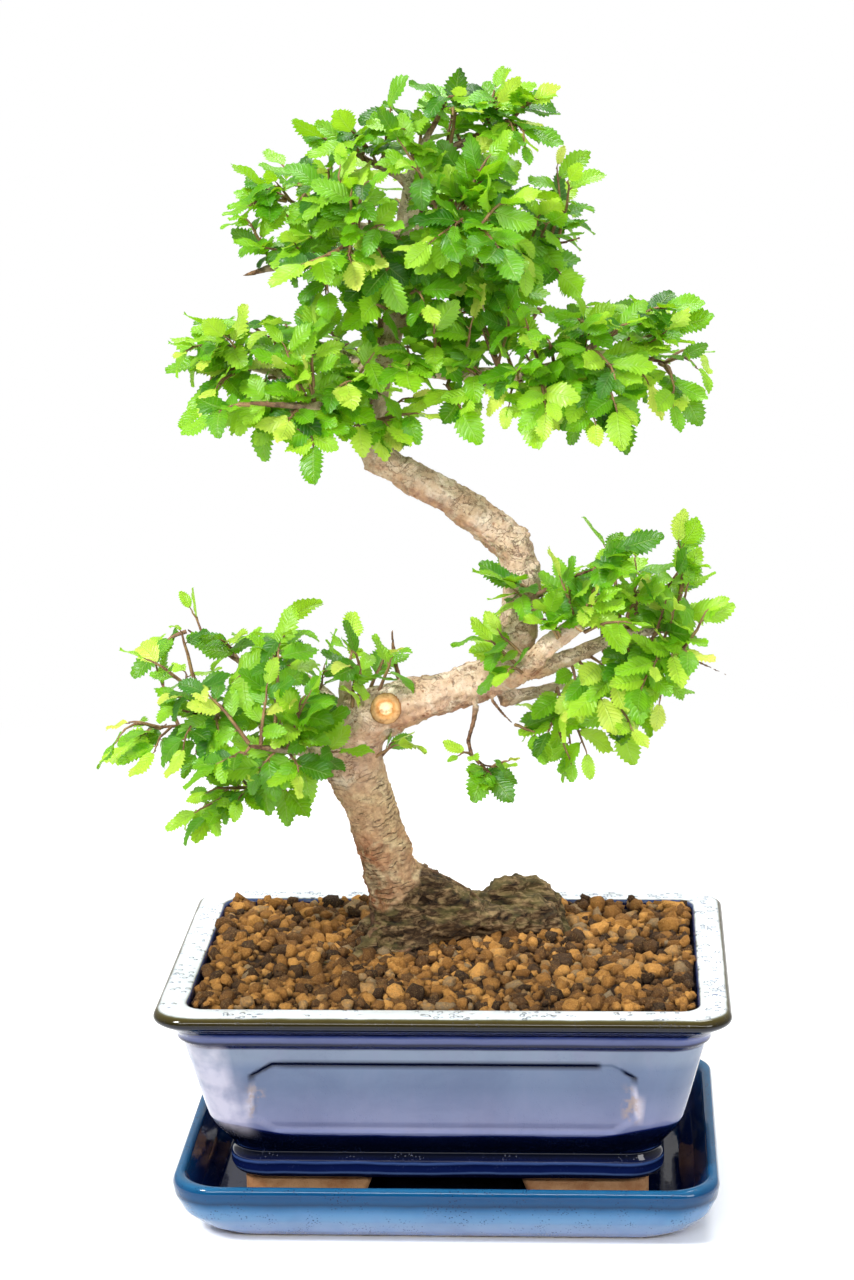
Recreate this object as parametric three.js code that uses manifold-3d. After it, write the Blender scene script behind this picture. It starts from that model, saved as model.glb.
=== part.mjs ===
// Bonsai elm in a glazed rectangular pot on a drip tray.
// Millimetres, +Z up, X along the long side of the pot, front of the tree towards -Y.
// The origin is the centre of the tray's flat underside.

import * as THREE from 'three';
import { mergeVertices } from 'three/addons/utils/BufferGeometryUtils.js';
import Module from 'manifold-3d';

const wasm = await Module();
wasm.setup();

// ---------------------------------------------------------------- sizes

const GAP = 0.3;                    // clearance between neighbouring pieces
const SIDE_DIFFERENCE = 27.5;       // half-length less half-depth, pot and tray alike

const TRAY_FLOOR = 7;
const TRAY_CORNER = 17;
const TRAY_PROFILE = [              // half-length, height
  [0, 0], [86, 0], [88, 1], [92.5, 4.2], [97.5, 10], [100.4, 17], [101, 21.5], [100.2, 23.6],
  [98.6, 24], [96.8, 23.2], [95.8, 20.5], [92.5, 12.5], [87, 7.6], [84, TRAY_FLOOR], [0, TRAY_FLOOR],
];

const POT_BOTTOM = TRAY_FLOOR + GAP;
const POT_FLOOR_UNDER = 19;
const POT_FLOOR_TOP = 24;
const POT_TOP = 91;
const POT_CORNER = 13;              // outside corners
const POT_INNER_CORNER = 8;         // corners of the planting space
const POT_PROFILE = [               // half-length, height, corner radius where it is not the outside one
  [0, POT_FLOOR_UNDER], [76.5, POT_FLOOR_UNDER], [79.6, 20.4], [80.8, 23.5], [80.8, 27.5],
  [79.6, 30.6], [81, 33], [86, 40.5], [87.8, 44.6], [90.2, 54], [93, 65.5], [95.8, 77], [97.4, 78],
  [97.8, 80.6], [100, 83.8], [103.6, 86], [105, 88], [104.8, 90.2], [103.6, POT_TOP],
  [94, POT_TOP, POT_INNER_CORNER], [92.9, 90.2, POT_INNER_CORNER], [92, 86, POT_INNER_CORNER],
  [89.6, 77, POT_INNER_CORNER], [82, 45, POT_INNER_CORNER], [76, 30, POT_INNER_CORNER],
  [72, POT_FLOOR_TOP, POT_INNER_CORNER], [0, POT_FLOOR_TOP],
];
const FOOT = { length: 43, width: 20, outer: 75, corner: 3 };
const PANEL = { half: 70, top: 71, bottom: 41, notch: 8, drop: 5, depth: 1.2 };
const WALL_LEAN = Math.atan((93 - 90.2) / (65.5 - 54));
const DRAIN = { x: 40, radius: 8 };

const MESH_SIDE = 24;
const MESH_THICK = 0.8;
const MESH_HOLES = 3;
const MESH_PITCH = 6.5;
const MESH_HOLE = 4.6;

const SOIL_LEVEL = 88.5;
const SOIL_BOTTOM = POT_FLOOR_TOP + GAP + MESH_THICK + GAP;
const SOIL_PROFILE = [
  [0, SOIL_BOTTOM], [71.6, SOIL_BOTTOM], [75.6, 30.6], [81.5, 45], [89.2, 77], [91.3, 85],
  [90.9, SOIL_LEVEL - 1], [84, SOIL_LEVEL], [74, SOIL_LEVEL], [64, SOIL_LEVEL], [53, SOIL_LEVEL],
  [42, SOIL_LEVEL], [31, SOIL_LEVEL], [0, SOIL_LEVEL],
];
const SOIL_LUMP = 0.9;
const SOIL_CROWN = 2.4;

const BARK_GAP = 0.35;              // soil and shoots stay this far off the bark

// Trunk and woody limbs: x, y, z, radius at each bend.
const TRUNK = [
  [-15, 15, 62, 9], [-16, 15, 78, 13], [-17.5, 14.5, 90, 14.4], [-19, 14, 97, 12.8],
  [-20.5, 13, 105, 11.2], [-22.6, 12, 116, 10.5], [-26.2, 9, 133, 10.2], [-31.4, 6, 151, 10.6],
  [-36, 3, 168, 11.6], [-31.5, 0, 181, 11.2], [-13.5, -3, 190, 9.2], [-6, -4, 192, 8.2],
  [12.8, -4, 197.6, 7.9], [24, -2, 207.5, 7.8], [28, 1, 224, 7.3], [28.2, 4, 238, 7.4],
  [26, 6, 246.5, 7.9], [18.6, 7, 253, 7.5], [7.6, 6, 261.5, 6.9], [-5, 4, 270, 6.6],
  [-18, 2, 277.4, 6.2], [-26, 0, 284.5, 6], [-26.8, -1, 294, 5.4], [-25, -1, 303, 5.2],
  [-20.6, 1, 321, 4.8], [-15, 3, 339, 4.3], [-14, 4, 357, 3.7], [-12, 3, 375.5, 2.7],
  [-6.7, 1, 393.5, 1.7], [2, -1, 408, 1],
];

const ROOTS = [
  [[-20, 14, 99, 9], [-8, 15, 99, 10], [5, 18, 98.5, 8.8], [14, 20, 96.8, 6.8], [25, 23, 95.6, 5.8],
    [35, 26, 93.6, 5], [46, 30, 85, 3]],
  [[-20, 14.5, 121, 5.5], [-12, 15.5, 113, 7.4], [-4, 16.5, 108.6, 7.6], [4, 18, 103.5, 7], [10, 19, 97, 5.6]],
  [[-15, 17, 100, 9], [-4, 21, 103, 7.6], [5, 25.5, 102, 6.4], [14, 30, 100, 5]],
  [[8, 30, 98, 4.4], [17, 32, 104, 5], [28, 34.5, 106, 5.6], [36.5, 34, 100.5, 5.2], [42, 32, 86, 4]],
  [[16, 31, 101, 3.6], [26, 29, 102.6, 3.6], [36, 26, 99, 3.6], [44, 25, 87, 2.6]],
  [[-22, 18, 97, 8], [-34, 24, 91, 5], [-45, 30, 83, 2.6]],
  [[-24, 9, 96, 6], [-34, -1, 90, 3.6], [-40, -8, 82, 2]],
  [[-12, 22, 98, 7], [0, 38, 92, 4.4], [10, 52, 83, 2.6]],
  [[-27, 3.4, 91.5, 0.7], [-22, 0.2, 90.8, 1], [-16, -0.6, 91.4, 0.9], [-13, 2, 92, 0.7]],
];

const LIMBS = {
  middle_right: [[-21, 0, 317, 3.4], [-7, -6, 315, 3.3], [10, -9, 313.5, 3.2], [34, -10, 314, 3],
    [56, -8, 320, 2.2], [71, -4, 320, 1.5], [81, -1, 316, 0.9]],
  middle_right_back: [[-17, 3, 330, 2.6], [4, 14, 335, 2.2], [28, 25, 333, 1.6], [46, 31, 330, 1]],
  middle_right_top: [[44, -9, 316, 1.8], [58, -14, 326, 1.5], [70, -14, 333, 1]],
  middle_left: [[-25, -1, 303, 3.8], [-39, -4, 308, 3.3], [-56, -5, 313, 2.4], [-69, -4, 316, 1.7], [-78, -2, 319, 1]],
  middle_left_front: [[-33, -3, 306, 2.6], [-42, -18, 304, 2], [-55, -30, 306, 1.5], [-67, -36, 308, 1]],
  middle_left_back: [[-24, 2, 311, 2.8], [-38, 17, 318, 2], [-56, 27, 322, 1.5], [-71, 30, 322, 1]],
  crown_left_bare: [[-14, 3, 350, 3], [-32, -3, 353, 2.7], [-50, -8, 354, 2.3], [-60, -9, 353, 1.9], [-71, -10, 350, 0.7]],
  crown_left_top: [[-13, 4, 362, 2.6], [-32, 2, 367, 2], [-46, -2, 372, 1.5], [-55, -4, 377, 0.9]],
  crown_right_bare: [[-14, 4, 346, 2.6], [8, 2, 352, 2], [30, 0, 356.5, 1.4], [51, 0, 361.5, 0.7]],
  crown_right_front: [[-12, 2, 370, 2.4], [2, -16, 372, 1.9], [16, -32, 369, 1.1]],
  crown_left_front: [[-13, 2, 362, 2.4], [-24, -18, 365, 1.9], [-34, -34, 362, 1.1]],
  crown_back: [[-13, 6, 358, 2.4], [-8, 24, 364, 1.9], [-4, 42, 366, 1.1]],
  crown_back_left: [[-14, 5, 348, 2.4], [-31, 22, 351, 1.9], [-45, 33, 351, 1.1]],
  crown_top_right: [[-8, 1, 388, 2], [8, 2, 396, 1.5], [20, 2, 401, 1.1], [26, 0, 403, 0.8]],
  crown_top_left: [[-11, 2, 382, 2], [-23, 0, 389, 1.5], [-33, -2, 394, 1]],
  low_right_cut: [[12, -4, 197, 6.6], [22, -8, 200, 5.6], [31, -10.5, 206, 4.8], [40.5, -14, 215.5, 4], [50.5, -18, 223, 3.7]],
  low_right: [[30, -9.5, 203, 4.4], [42.5, -6, 206, 3.9], [57, -3, 211.5, 3.3], [67, 0, 214.5, 2.6],
    [76, 2, 215, 1.8], [85, 2, 217.5, 1.1]],
  low_right_under: [[20, -4, 192, 4.4], [30, -1, 192, 3], [40, 3, 194, 2.2], [51, 8, 194, 1.6], [61, 12, 190, 1]],
  low_right_top: [[27, 0, 220, 2.2], [33, -8, 230, 1.5], [43, -11, 237, 1.2], [56, -11, 242, 0.8]],
  low_left_pale: [[-38, 2, 163, 4.4], [-46, 0, 163.5, 3], [-56, -4, 165, 2.6], [-65, -7, 161, 2], [-73, -9, 156.5, 1.3]],
  low_left: [[-36, 0, 177, 5], [-48, 2, 179.5, 3.4], [-62, 3, 180.5, 2.8], [-80, 2, 181, 2.2], [-97, 0, 180, 1.3],
    [-108, -2, 179.5, 0.8]],
  low_left_top: [[-54, 2, 180, 2.6], [-64, 7, 190, 2], [-75, 9, 200, 1.6], [-87, 9, 208, 1.2], [-98, 8, 215, 0.7]],
  low_left_cut: [[-79, 2, 181, 2.4], [-85, -3, 186, 3.3], [-93, -8, 191.5, 3.3]],
  low_left_front: [[-40, -5, 171, 3.4], [-51, -17, 174, 2.2], [-61, -28, 178, 1.7], [-71, -34, 181, 1]],
  low_left_back: [[-38, 7, 181, 3.4], [-49, 20, 189, 2.2], [-61, 31, 195, 1.1]],
  dark_stub: [[-35, 5, 180, 4], [-38.5, 6, 190, 3.3], [-38, 5.5, 197, 2.8]],
  upright_twig: [[-17, 6, 192, 1.6], [-20, 10, 203, 1.1], [-20.5, 9, 214.5, 0.7]],
  hanging_twig: [[12, -8, 194, 1.8], [10.5, -12, 184, 1.2], [8.5, -13, 177, 1.1], [11.5, -13, 169, 0.9], [20, -13, 167, 0.7]],
  thorn: [[17, -8, 192, 1.1], [22, -13, 187, 0.8], [26, -16, 184, 0.5]],
  right_spike: [[64, 1, 212, 2.2], [84, -6, 209.5, 1], [104, -10, 201.5, 0.5]],
};

const CUT_SCAR = { x: -22, y: -11.4, z: 189.2, radius: 4.3, height: 2.6 };

// Leafy shoots: the limb each grows from, how far along it, the shoot's tip, and its leaves.
const SHOOTS = {
  crown: [
    ['crown_top_right', 0.98, [34, -6, 411], 6], ['crown_top_right', 0.7, [22, -12, 414], 6],
    ['crown_top_right', 0.4, [6, 14, 415], 6], ['crown_top_left', 0.98, [-41, -8, 399], 6],
    ['crown_top_left', 0.6, [-30, -16, 402], 7], ['crown_top_left', 0.3, [-16, -10, 410], 6],
    ['crown_left_top', 0.99, [-63, -8, 382], 6], ['crown_left_top', 0.75, [-58, 12, 388], 6],
    ['crown_left_top', 0.5, [-44, -22, 374], 7], ['crown_left_bare', 0.6, [-62, -24, 362], 6],
    ['crown_left_front', 0.98, [-46, -46, 358], 7], ['crown_left_front', 0.6, [-16, -36, 352], 7],
    ['crown_right_front', 0.98, [24, -46, 362], 7], ['crown_right_front', 0.5, [18, -24, 386], 7],
    ['crown_right_bare', 0.7, [44, -14, 350], 6], ['crown_right_bare', 0.85, [43, 8, 371], 7],
    ['crown_right_bare', 0.4, [20, -20, 344], 7], ['crown_back', 0.98, [2, 52, 372], 7],
    ['crown_back_left', 0.98, [-56, 40, 354], 6],
  ],
  middle_left: [
    ['middle_left', 0.99, [-86, -6, 319], 6], ['middle_left', 0.8, [-82, -14, 332], 6],
    ['middle_left', 0.55, [-62, -20, 298], 7], ['middle_left', 0.4, [-58, 10, 330], 6],
    ['middle_left_front', 0.99, [-80, -42, 304], 6], ['middle_left_front', 0.5, [-44, -38, 292], 7],
    ['middle_left_back', 0.99, [-84, 32, 326], 6], ['middle_left_back', 0.5, [-44, 34, 312], 6],
  ],
  middle_right: [
    ['middle_right', 0.99, [88, -6, 305], 7], ['middle_right', 0.85, [86, -10, 330], 6],
    ['middle_right', 0.72, [64, -22, 300], 7], ['middle_right', 0.5, [34, -26, 302], 6],
    ['middle_right', 0.2, [8, -22, 303], 5], ['middle_right_top', 0.99, [82, -14, 338], 6],
    ['middle_right_top', 0.5, [50, -26, 336], 7], ['middle_right_back', 0.99, [60, 36, 330], 7],
    ['middle_right_back', 0.5, [22, 34, 328], 6],
  ],
  low_right: [
    ['low_right', 0.99, [91, -2, 223], 6], ['low_right', 0.85, [86, -8, 240], 7],
    ['low_right', 0.7, [70, -16, 236], 7], ['low_right', 0.65, [70, -18, 200], 7],
    ['low_right_top', 0.98, [66, -12, 250], 6], ['low_right_top', 0.4, [22, -18, 240], 5],
    ['low_right_under', 0.99, [66, 10, 176], 7], ['low_right_under', 0.6, [38, -12, 180], 6],
  ],
  low_left: [
    ['low_left', 0.99, [-118, -4, 174], 5], ['low_left_top', 0.98, [-108, 6, 208], 4],
    ['low_left_top', 0.6, [-84, -4, 214], 6], ['low_left_top', 0.3, [-58, -6, 206], 7],
    ['low_left', 0.7, [-98, -16, 190], 6], ['low_left_front', 0.98, [-82, -42, 176], 6],
    ['low_left_front', 0.5, [-50, -34, 190], 7], ['low_left_back', 0.98, [-74, 36, 203], 6],
    ['low_left_pale', 0.97, [-90, -12, 147], 6],
  ],
  hanging: [['hanging_twig', 0.75, [18, -20, 165], 6]],
};

// ---------------------------------------------------------------- small helpers

const UP = new THREE.Vector3(0, 0, 1);

function wobble(n) {
  const s = Math.sin(n * 12.9898 + 4.1414) * 43758.5453;
  return 2 * (s - Math.floor(s)) - 1;
}

function toSolid(geometry) {
  const bare = new THREE.BufferGeometry();
  bare.setAttribute('position', geometry.getAttribute('position'));
  bare.setIndex(geometry.getIndex());
  const merged = mergeVertices(bare, 1e-4);
  const solid = new wasm.Manifold(new wasm.Mesh({
    numProp: 3,
    vertProperties: new Float32Array(merged.getAttribute('position').array),
    triVerts: new Uint32Array(merged.getIndex().array),
  }));
  return solid;
}

function toGeometry(solid) {
  const mesh = solid.getMesh();
  const geometry = new THREE.BufferGeometry();
  geometry.setAttribute('position', new THREE.BufferAttribute(mesh.vertProperties, 3));
  geometry.setIndex(new THREE.BufferAttribute(mesh.triVerts, 1));
  geometry.computeVertexNormals();
  return geometry;
}

function largestBody(solid) {
  const bodies = solid.decompose();
  bodies.sort((a, b) => b.volume() - a.volume());
  return bodies[0];
}

function boxesMeet(a, b) {
  const p = a.boundingBox();
  const q = b.boundingBox();
  return [0, 1, 2].every((k) => p.min[k] < q.max[k] && q.min[k] < p.max[k]);
}

function clash(a, b) {
  return boxesMeet(a, b) && a.intersect(b).volume() > 1e-6;
}

// ---------------------------------------------------------------- pot, tray and soil

// One corner-rounded rectangle, as directions to map a lathe's circle onto.
function roundedOutline(halfLength, corner) {
  const halfDepth = Math.max(halfLength - SIDE_DIFFERENCE, 1);
  const radius = Math.min(corner, halfLength - 0.5, halfDepth - 0.5);
  const points = [];
  const steps = 4;
  const quarters = [[1, -1, -90], [1, 1, 0], [-1, 1, 90], [-1, -1, 180]];
  for (const [sx, sy, start] of quarters) {
    for (let k = 0; k <= steps; k += 1) {
      const angle = THREE.MathUtils.degToRad(start + (90 * k) / steps);
      const x = sx * (halfLength - radius) + radius * Math.cos(angle);
      const y = sy * (halfDepth - radius) + radius * Math.sin(angle);
      points.push([x, y]);
    }
    if (sx === 1 && sy === 1) points.push([0, halfDepth]);
    if (sx === -1 && sy === -1) points.push([0, -halfDepth]);
    if (sx === 1 && sy === -1) points.push([halfLength, 0]);
    if (sx === -1 && sy === 1) points.push([-halfLength, 0]);
  }
  return points;
}

// A lathe turned on a rounded rectangle in place of a circle.
function rectangularTurning(profile, corner) {
  const count = roundedOutline(60, corner).length;
  const points = profile.map(([r, z]) => new THREE.Vector2(r, z));
  const lathe = new THREE.LatheGeometry(points, count);
  const position = lathe.getAttribute('position');
  for (let i = 0; i < position.count; i += 1) {
    const row = i % points.length;
    const turn = Math.floor(i / points.length) % count;
    const [radius, height, ownCorner] = profile[row];
    if (radius === 0) {
      position.setXYZ(i, 0, 0, height);
    } else {
      const outline = roundedOutline(radius, ownCorner ?? corner);
      position.setXYZ(i, outline[turn][0], outline[turn][1], height);
    }
  }
  return lathe;
}

function outwards(solidOrNull, geometry) {
  if (solidOrNull.volume() > 0) return solidOrNull;
  const index = geometry.getIndex().array;
  for (let i = 0; i < index.length; i += 3) {
    const first = index[i];
    index[i] = index[i + 1];
    index[i + 1] = first;
  }
  return toSolid(geometry);
}

function turnedSolid(profile, corner) {
  const geometry = rectangularTurning(profile, corner);
  return outwards(toSolid(geometry), geometry);
}

function block(length, width, height, corner) {
  const shape = new THREE.Shape();
  const a = length / 2;
  const b = width / 2;
  shape.moveTo(-a + corner, -b);
  shape.lineTo(a - corner, -b);
  shape.absarc(a - corner, -b + corner, corner, -Math.PI / 2, 0);
  shape.absarc(a - corner, b - corner, corner, 0, Math.PI / 2);
  shape.absarc(-a + corner, b - corner, corner, Math.PI / 2, Math.PI);
  shape.absarc(-a + corner, -b + corner, corner, Math.PI, 1.5 * Math.PI);
  return new THREE.ExtrudeGeometry(shape, { depth: height, bevelEnabled: false, curveSegments: 3 });
}

function potFeet() {
  const feet = [];
  const height = POT_FLOOR_UNDER - POT_BOTTOM + 1;
  for (const sx of [-1, 1]) {
    for (const sy of [-1, 1]) {
      const foot = block(FOOT.length, FOOT.width, height, FOOT.corner);
      const x = sx * (FOOT.outer - FOOT.length / 2);
      const y = sy * (FOOT.outer - SIDE_DIFFERENCE - FOOT.width / 2);
      foot.translate(x, y, POT_BOTTOM);
      feet.push(toSolid(foot));
    }
  }
  return feet;
}

// The shallow panel with cut corners, sunk into a wall that leans outwards.
function panelCutter(halfLength) {
  const h = PANEL.top - PANEL.bottom;
  const shape = new THREE.Shape();
  shape.moveTo(-halfLength + PANEL.notch, 0);
  shape.lineTo(halfLength - PANEL.notch, 0);
  shape.lineTo(halfLength, PANEL.drop + 2);
  shape.lineTo(halfLength, h - PANEL.drop);
  shape.lineTo(halfLength - PANEL.notch, h);
  shape.lineTo(-halfLength + PANEL.notch, h);
  shape.lineTo(-halfLength, h - PANEL.drop);
  shape.lineTo(-halfLength, PANEL.drop + 2);
  const cutter = new THREE.ExtrudeGeometry(shape, { depth: 10, bevelEnabled: false });
  cutter.rotateX(Math.PI / 2);
  cutter.rotateX(WALL_LEAN);
  return cutter;
}

function panelCutters() {
  const wallAtBottom = 90.2 - (54 - PANEL.bottom) * Math.tan(WALL_LEAN) - PANEL.depth;
  const cutters = [];
  for (const turn of [0, 1, 2, 3]) {
    const onEnd = turn % 2 === 1;
    const cutter = panelCutter(onEnd ? PANEL.half - SIDE_DIFFERENCE : PANEL.half);
    const reach = onEnd ? wallAtBottom : wallAtBottom - SIDE_DIFFERENCE;
    cutter.translate(0, -reach, PANEL.bottom);
    cutter.rotateZ((turn * Math.PI) / 2);
    cutters.push(toSolid(cutter));
  }
  return cutters;
}

function drainHole(sx) {
  const hole = new THREE.CylinderGeometry(DRAIN.radius, DRAIN.radius, 20, 20);
  hole.rotateX(Math.PI / 2);
  hole.translate(sx * DRAIN.x, 0, POT_FLOOR_UNDER + 2);
  return toSolid(hole);
}

function potSolid() {
  let pot = turnedSolid(POT_PROFILE, POT_CORNER);
  for (const foot of potFeet()) pot = pot.add(foot);
  for (const cutter of panelCutters()) pot = pot.subtract(cutter);
  for (const sx of [-1, 1]) pot = pot.subtract(drainHole(sx));
  return pot;
}

function drainMesh(sx) {
  const plate = block(MESH_SIDE, MESH_SIDE, MESH_THICK, 1.5);
  plate.translate(sx * DRAIN.x, 0, POT_FLOOR_TOP + GAP);
  let mesh = toSolid(plate);
  const first = -((MESH_HOLES - 1) * MESH_PITCH) / 2;
  for (let i = 0; i < MESH_HOLES; i += 1) {
    for (let j = 0; j < MESH_HOLES; j += 1) {
      const hole = new THREE.BoxGeometry(MESH_HOLE, MESH_HOLE, 6);
      hole.translate(sx * DRAIN.x + first + i * MESH_PITCH, first + j * MESH_PITCH, POT_FLOOR_TOP);
      mesh = mesh.subtract(toSolid(hole));
    }
  }
  return mesh;
}

function soilSolid() {
  const geometry = rectangularTurning(SOIL_PROFILE, POT_INNER_CORNER + GAP);
  const position = geometry.getAttribute('position');
  for (let i = 0; i < position.count; i += 1) {
    const z = position.getZ(i);
    if (z < SOIL_LEVEL - 0.01) continue;
    const x = position.getX(i);
    const y = position.getY(i);
    const lump = Math.sin(x * 0.31 + 1.3) * Math.cos(y * 0.37) + 0.6 * Math.sin(x * 0.13 - y * 0.21);
    const crown = Math.max(0, 1 - Math.hypot((x + 5) / 70, (y - 18) / 50));
    position.setZ(i, z + SOIL_LUMP * lump + SOIL_CROWN * crown);
  }
  return outwards(toSolid(geometry), geometry);
}

// ---------------------------------------------------------------- wood

function bentCylinder(bends, sides, segments, extra) {
  const curve = new THREE.CatmullRomCurve3(bends.map(([x, y, z]) => new THREE.Vector3(x, y, z)), false, 'centripetal');
  const unit = new THREE.CylinderGeometry(1, 1, 1, sides, segments, false);
  const position = unit.getAttribute('position');
  const frames = curve.computeFrenetFrames(segments, false);
  const stations = [];
  for (let k = 0; k <= segments; k += 1) {
    const u = k / segments;
    const t = curve.getUtoTmapping(u, 0) * (bends.length - 1);
    const low = Math.min(Math.floor(t), bends.length - 2);
    const radius = THREE.MathUtils.lerp(bends[low][3], bends[low + 1][3], t - low);
    stations.push({ at: curve.getPointAt(u), radius: radius + extra });
  }
  for (let i = 0; i < position.count; i += 1) {
    const k = Math.round((position.getY(i) + 0.5) * segments);
    const { at, radius } = stations[k];
    const point = at.clone();
    point.addScaledVector(frames.normals[k], position.getX(i) * radius);
    point.addScaledVector(frames.binormals[k], -position.getZ(i) * radius);
    if (extra > 0 && k === 0) point.addScaledVector(frames.tangents[0], -extra);
    if (extra > 0 && k === segments) point.addScaledVector(frames.tangents[k], extra);
    position.setXYZ(i, point.x, point.y, point.z);
  }
  return outwards(toSolid(unit), unit);
}

function scarCollar(extra) {
  const collar = new THREE.CylinderGeometry(CUT_SCAR.radius + extra, CUT_SCAR.radius + 1.2 + extra, CUT_SCAR.height + 2 * extra, 12);
  collar.rotateX(Math.PI);
  collar.rotateX(-0.25);
  collar.translate(CUT_SCAR.x, CUT_SCAR.y, CUT_SCAR.z);
  return toSolid(collar);
}

function treeWood(extra) {
  let wood = bentCylinder(TRUNK, 10, 48, extra);
  for (const root of ROOTS) wood = wood.add(bentCylinder(root, 7, root.length * 2, extra));
  for (const limb of Object.values(LIMBS)) wood = wood.add(bentCylinder(limb, 5, limb.length + 1, extra));
  return wood.add(scarCollar(extra));
}

// ---------------------------------------------------------------- leafy shoots

// A leaf: two flat four-sided cones, point to point, over a kite.
function leafSolid({ base, along, face, length, width }) {
  const side = new THREE.Vector3().crossVectors(face, along).normalize();
  const up = new THREE.Vector3().crossVectors(along, side).normalize();
  const middle = base.clone().addScaledVector(along, length * 0.5);
  const octa = new THREE.OctahedronGeometry(1);
  const position = octa.getAttribute('position');
  for (let i = 0; i < position.count; i += 1) {
    const x = position.getX(i);
    const y = position.getY(i);
    const z = position.getZ(i);
    const point = middle.clone();
    point.addScaledVector(along, x * length * 0.5 - Math.abs(y) * length * 0.06);
    point.addScaledVector(side, y * width * 0.5);
    point.addScaledVector(up, z * 0.5 + Math.abs(y) * width * 0.1);
    position.setXYZ(i, point.x, point.y, point.z);
  }
  return toSolid(octa);
}

function leafFrame(curve, share, sideSign, seed, isTip) {
  const base = curve.getPointAt(share);
  const tangent = curve.getTangentAt(share);
  const flat = new THREE.Vector3().crossVectors(UP, tangent).normalize();
  const along = tangent.clone().multiplyScalar(isTip ? 1 : 0.55 + 0.2 * wobble(seed));
  along.addScaledVector(flat, isTip ? 0.15 * wobble(seed + 1) : sideSign * 0.9);
  along.addScaledVector(UP, 0.3 * wobble(seed + 2) - 0.1);
  along.normalize();
  const face = UP.clone();
  face.addScaledVector(flat, -0.5 * sideSign + 0.35 * wobble(seed + 3));
  face.add(new THREE.Vector3(0.25 * wobble(seed + 5), -0.55 + 0.35 * wobble(seed + 4), 0));
  face.normalize();
  const length = (isTip ? 14.5 : 13) + 2.2 * wobble(seed + 6);
  return { base, along, face, length, width: length * (0.62 + 0.06 * wobble(seed + 7)) };
}

function twigBends(start, tip, seed) {
  const reach = start.distanceTo(tip);
  const middle = start.clone().lerp(tip, 0.5);
  middle.z += reach * (0.08 + 0.08 * wobble(seed));
  middle.x += reach * 0.08 * wobble(seed + 1);
  middle.y += reach * 0.08 * wobble(seed + 2);
  return [[...start.toArray(), 0.85], [...middle.toArray(), 0.7], [...tip.toArray(), 0.45]];
}

function curveOf(bends) {
  return new THREE.CatmullRomCurve3(bends.map(([x, y, z]) => new THREE.Vector3(x, y, z)), false, 'centripetal');
}

// Start a shoot just off the bark of its limb, on the side that faces its tip.
function startPoint(limbName, share, tip) {
  const limb = LIMBS[limbName];
  const curve = curveOf(limb);
  const at = curve.getPointAt(share);
  const t = curve.getUtoTmapping(share, 0) * (limb.length - 1);
  const low = Math.min(Math.floor(t), limb.length - 2);
  const radius = THREE.MathUtils.lerp(limb[low][3], limb[low + 1][3], t - low);
  const outward = tip.clone().sub(at).normalize();
  return at.addScaledVector(outward, radius * 0.5);
}

function growShoot([limbName, share, tipPoint, leafCount], seed, wood, others) {
  const tip = new THREE.Vector3(...tipPoint);
  const start = startPoint(limbName, share, tip);
  const near = others.filter((other) => boxesMeet(other.reach, reachBox(start, tip))).map((other) => other.solid);
  let bends = twigBends(start, tip, seed);
  let twig = largestBody(bentCylinder(bends, 3, 5, 0).subtract(wood));
  for (let attempt = 1; attempt < 8 && near.some((other) => clash(twig, other)); attempt += 1) {
    bends = twigBends(start, tip, seed + 17 * attempt);
    twig = largestBody(bentCylinder(bends, 3, 5, 0).subtract(wood));
  }
  const curve = curveOf(bends);
  let shoot = twig;
  const leaves = [];
  for (let n = 0; n < leafCount; n += 1) {
    const isTip = n === 0;
    const leafShare = isTip ? 0.985 : 0.97 - (0.8 * n) / leafCount;
    const sign = n % 2 === 0 ? 1 : -1;
    for (let attempt = 0; attempt < 9; attempt += 1) {
      const frame = leafFrame(curve, leafShare, sign, seed + n * 3.7 + attempt * 29.3, isTip);
      const leaf = leafSolid(frame);
      const free = !clash(leaf, wood) && !leaves.some((l) => clash(leaf, l)) && !near.some((o) => clash(leaf, o));
      if (!free) continue;
      const grown = shoot.add(leaf);
      if (grown.decompose().length > 1) continue;
      shoot = grown;
      leaves.push(leaf);
      break;
    }
  }
  return shoot;
}

function reachBox(start, tip) {
  const box = new THREE.Box3().setFromPoints([start, tip]).expandByScalar(20);
  return { boundingBox: () => ({ min: box.min.toArray(), max: box.max.toArray() }) };
}

function growShoots(wood) {
  const grown = [];
  let seed = 1;
  for (const [pad, rows] of Object.entries(SHOOTS)) {
    rows.forEach((row, index) => {
      const solid = growShoot(row, seed * 7.31, wood, grown);
      const number = String(index + 1).padStart(2, '0');
      grown.push({ name: `${pad}_shoot_${number}`, solid, reach: solid });
      seed += 1;
    });
  }
  return grown;
}

// ---------------------------------------------------------------- assembly

function addPiece(group, name, solid, colour, roughness, metalness = 0) {
  const material = new THREE.MeshStandardMaterial({ color: colour, roughness, metalness });
  const mesh = new THREE.Mesh(toGeometry(solid), material);
  mesh.name = name;
  group.add(mesh);
}

function buildBonsai() {
  const group = new THREE.Group();
  const wood = treeWood(0);
  const barkReach = treeWood(BARK_GAP);
  addPiece(group, 'drip_tray', turnedSolid(TRAY_PROFILE, TRAY_CORNER), 0x4f8fc0, 0.15);
  addPiece(group, 'pot', potSolid(), 0x8f96bf, 0.12);
  addPiece(group, 'drain_mesh_left', drainMesh(-1), 0x303030, 0.6);
  addPiece(group, 'drain_mesh_right', drainMesh(1), 0x303030, 0.6);
  addPiece(group, 'soil_bed', largestBody(soilSolid().subtract(barkReach)), 0xa8733c, 0.95);
  addPiece(group, 'trunk', wood, 0xb5a08a, 0.85);
  for (const { name, solid } of growShoots(barkReach)) addPiece(group, name, solid, 0x5fae35, 0.55);
  return group;
}

export default buildBonsai();
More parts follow.
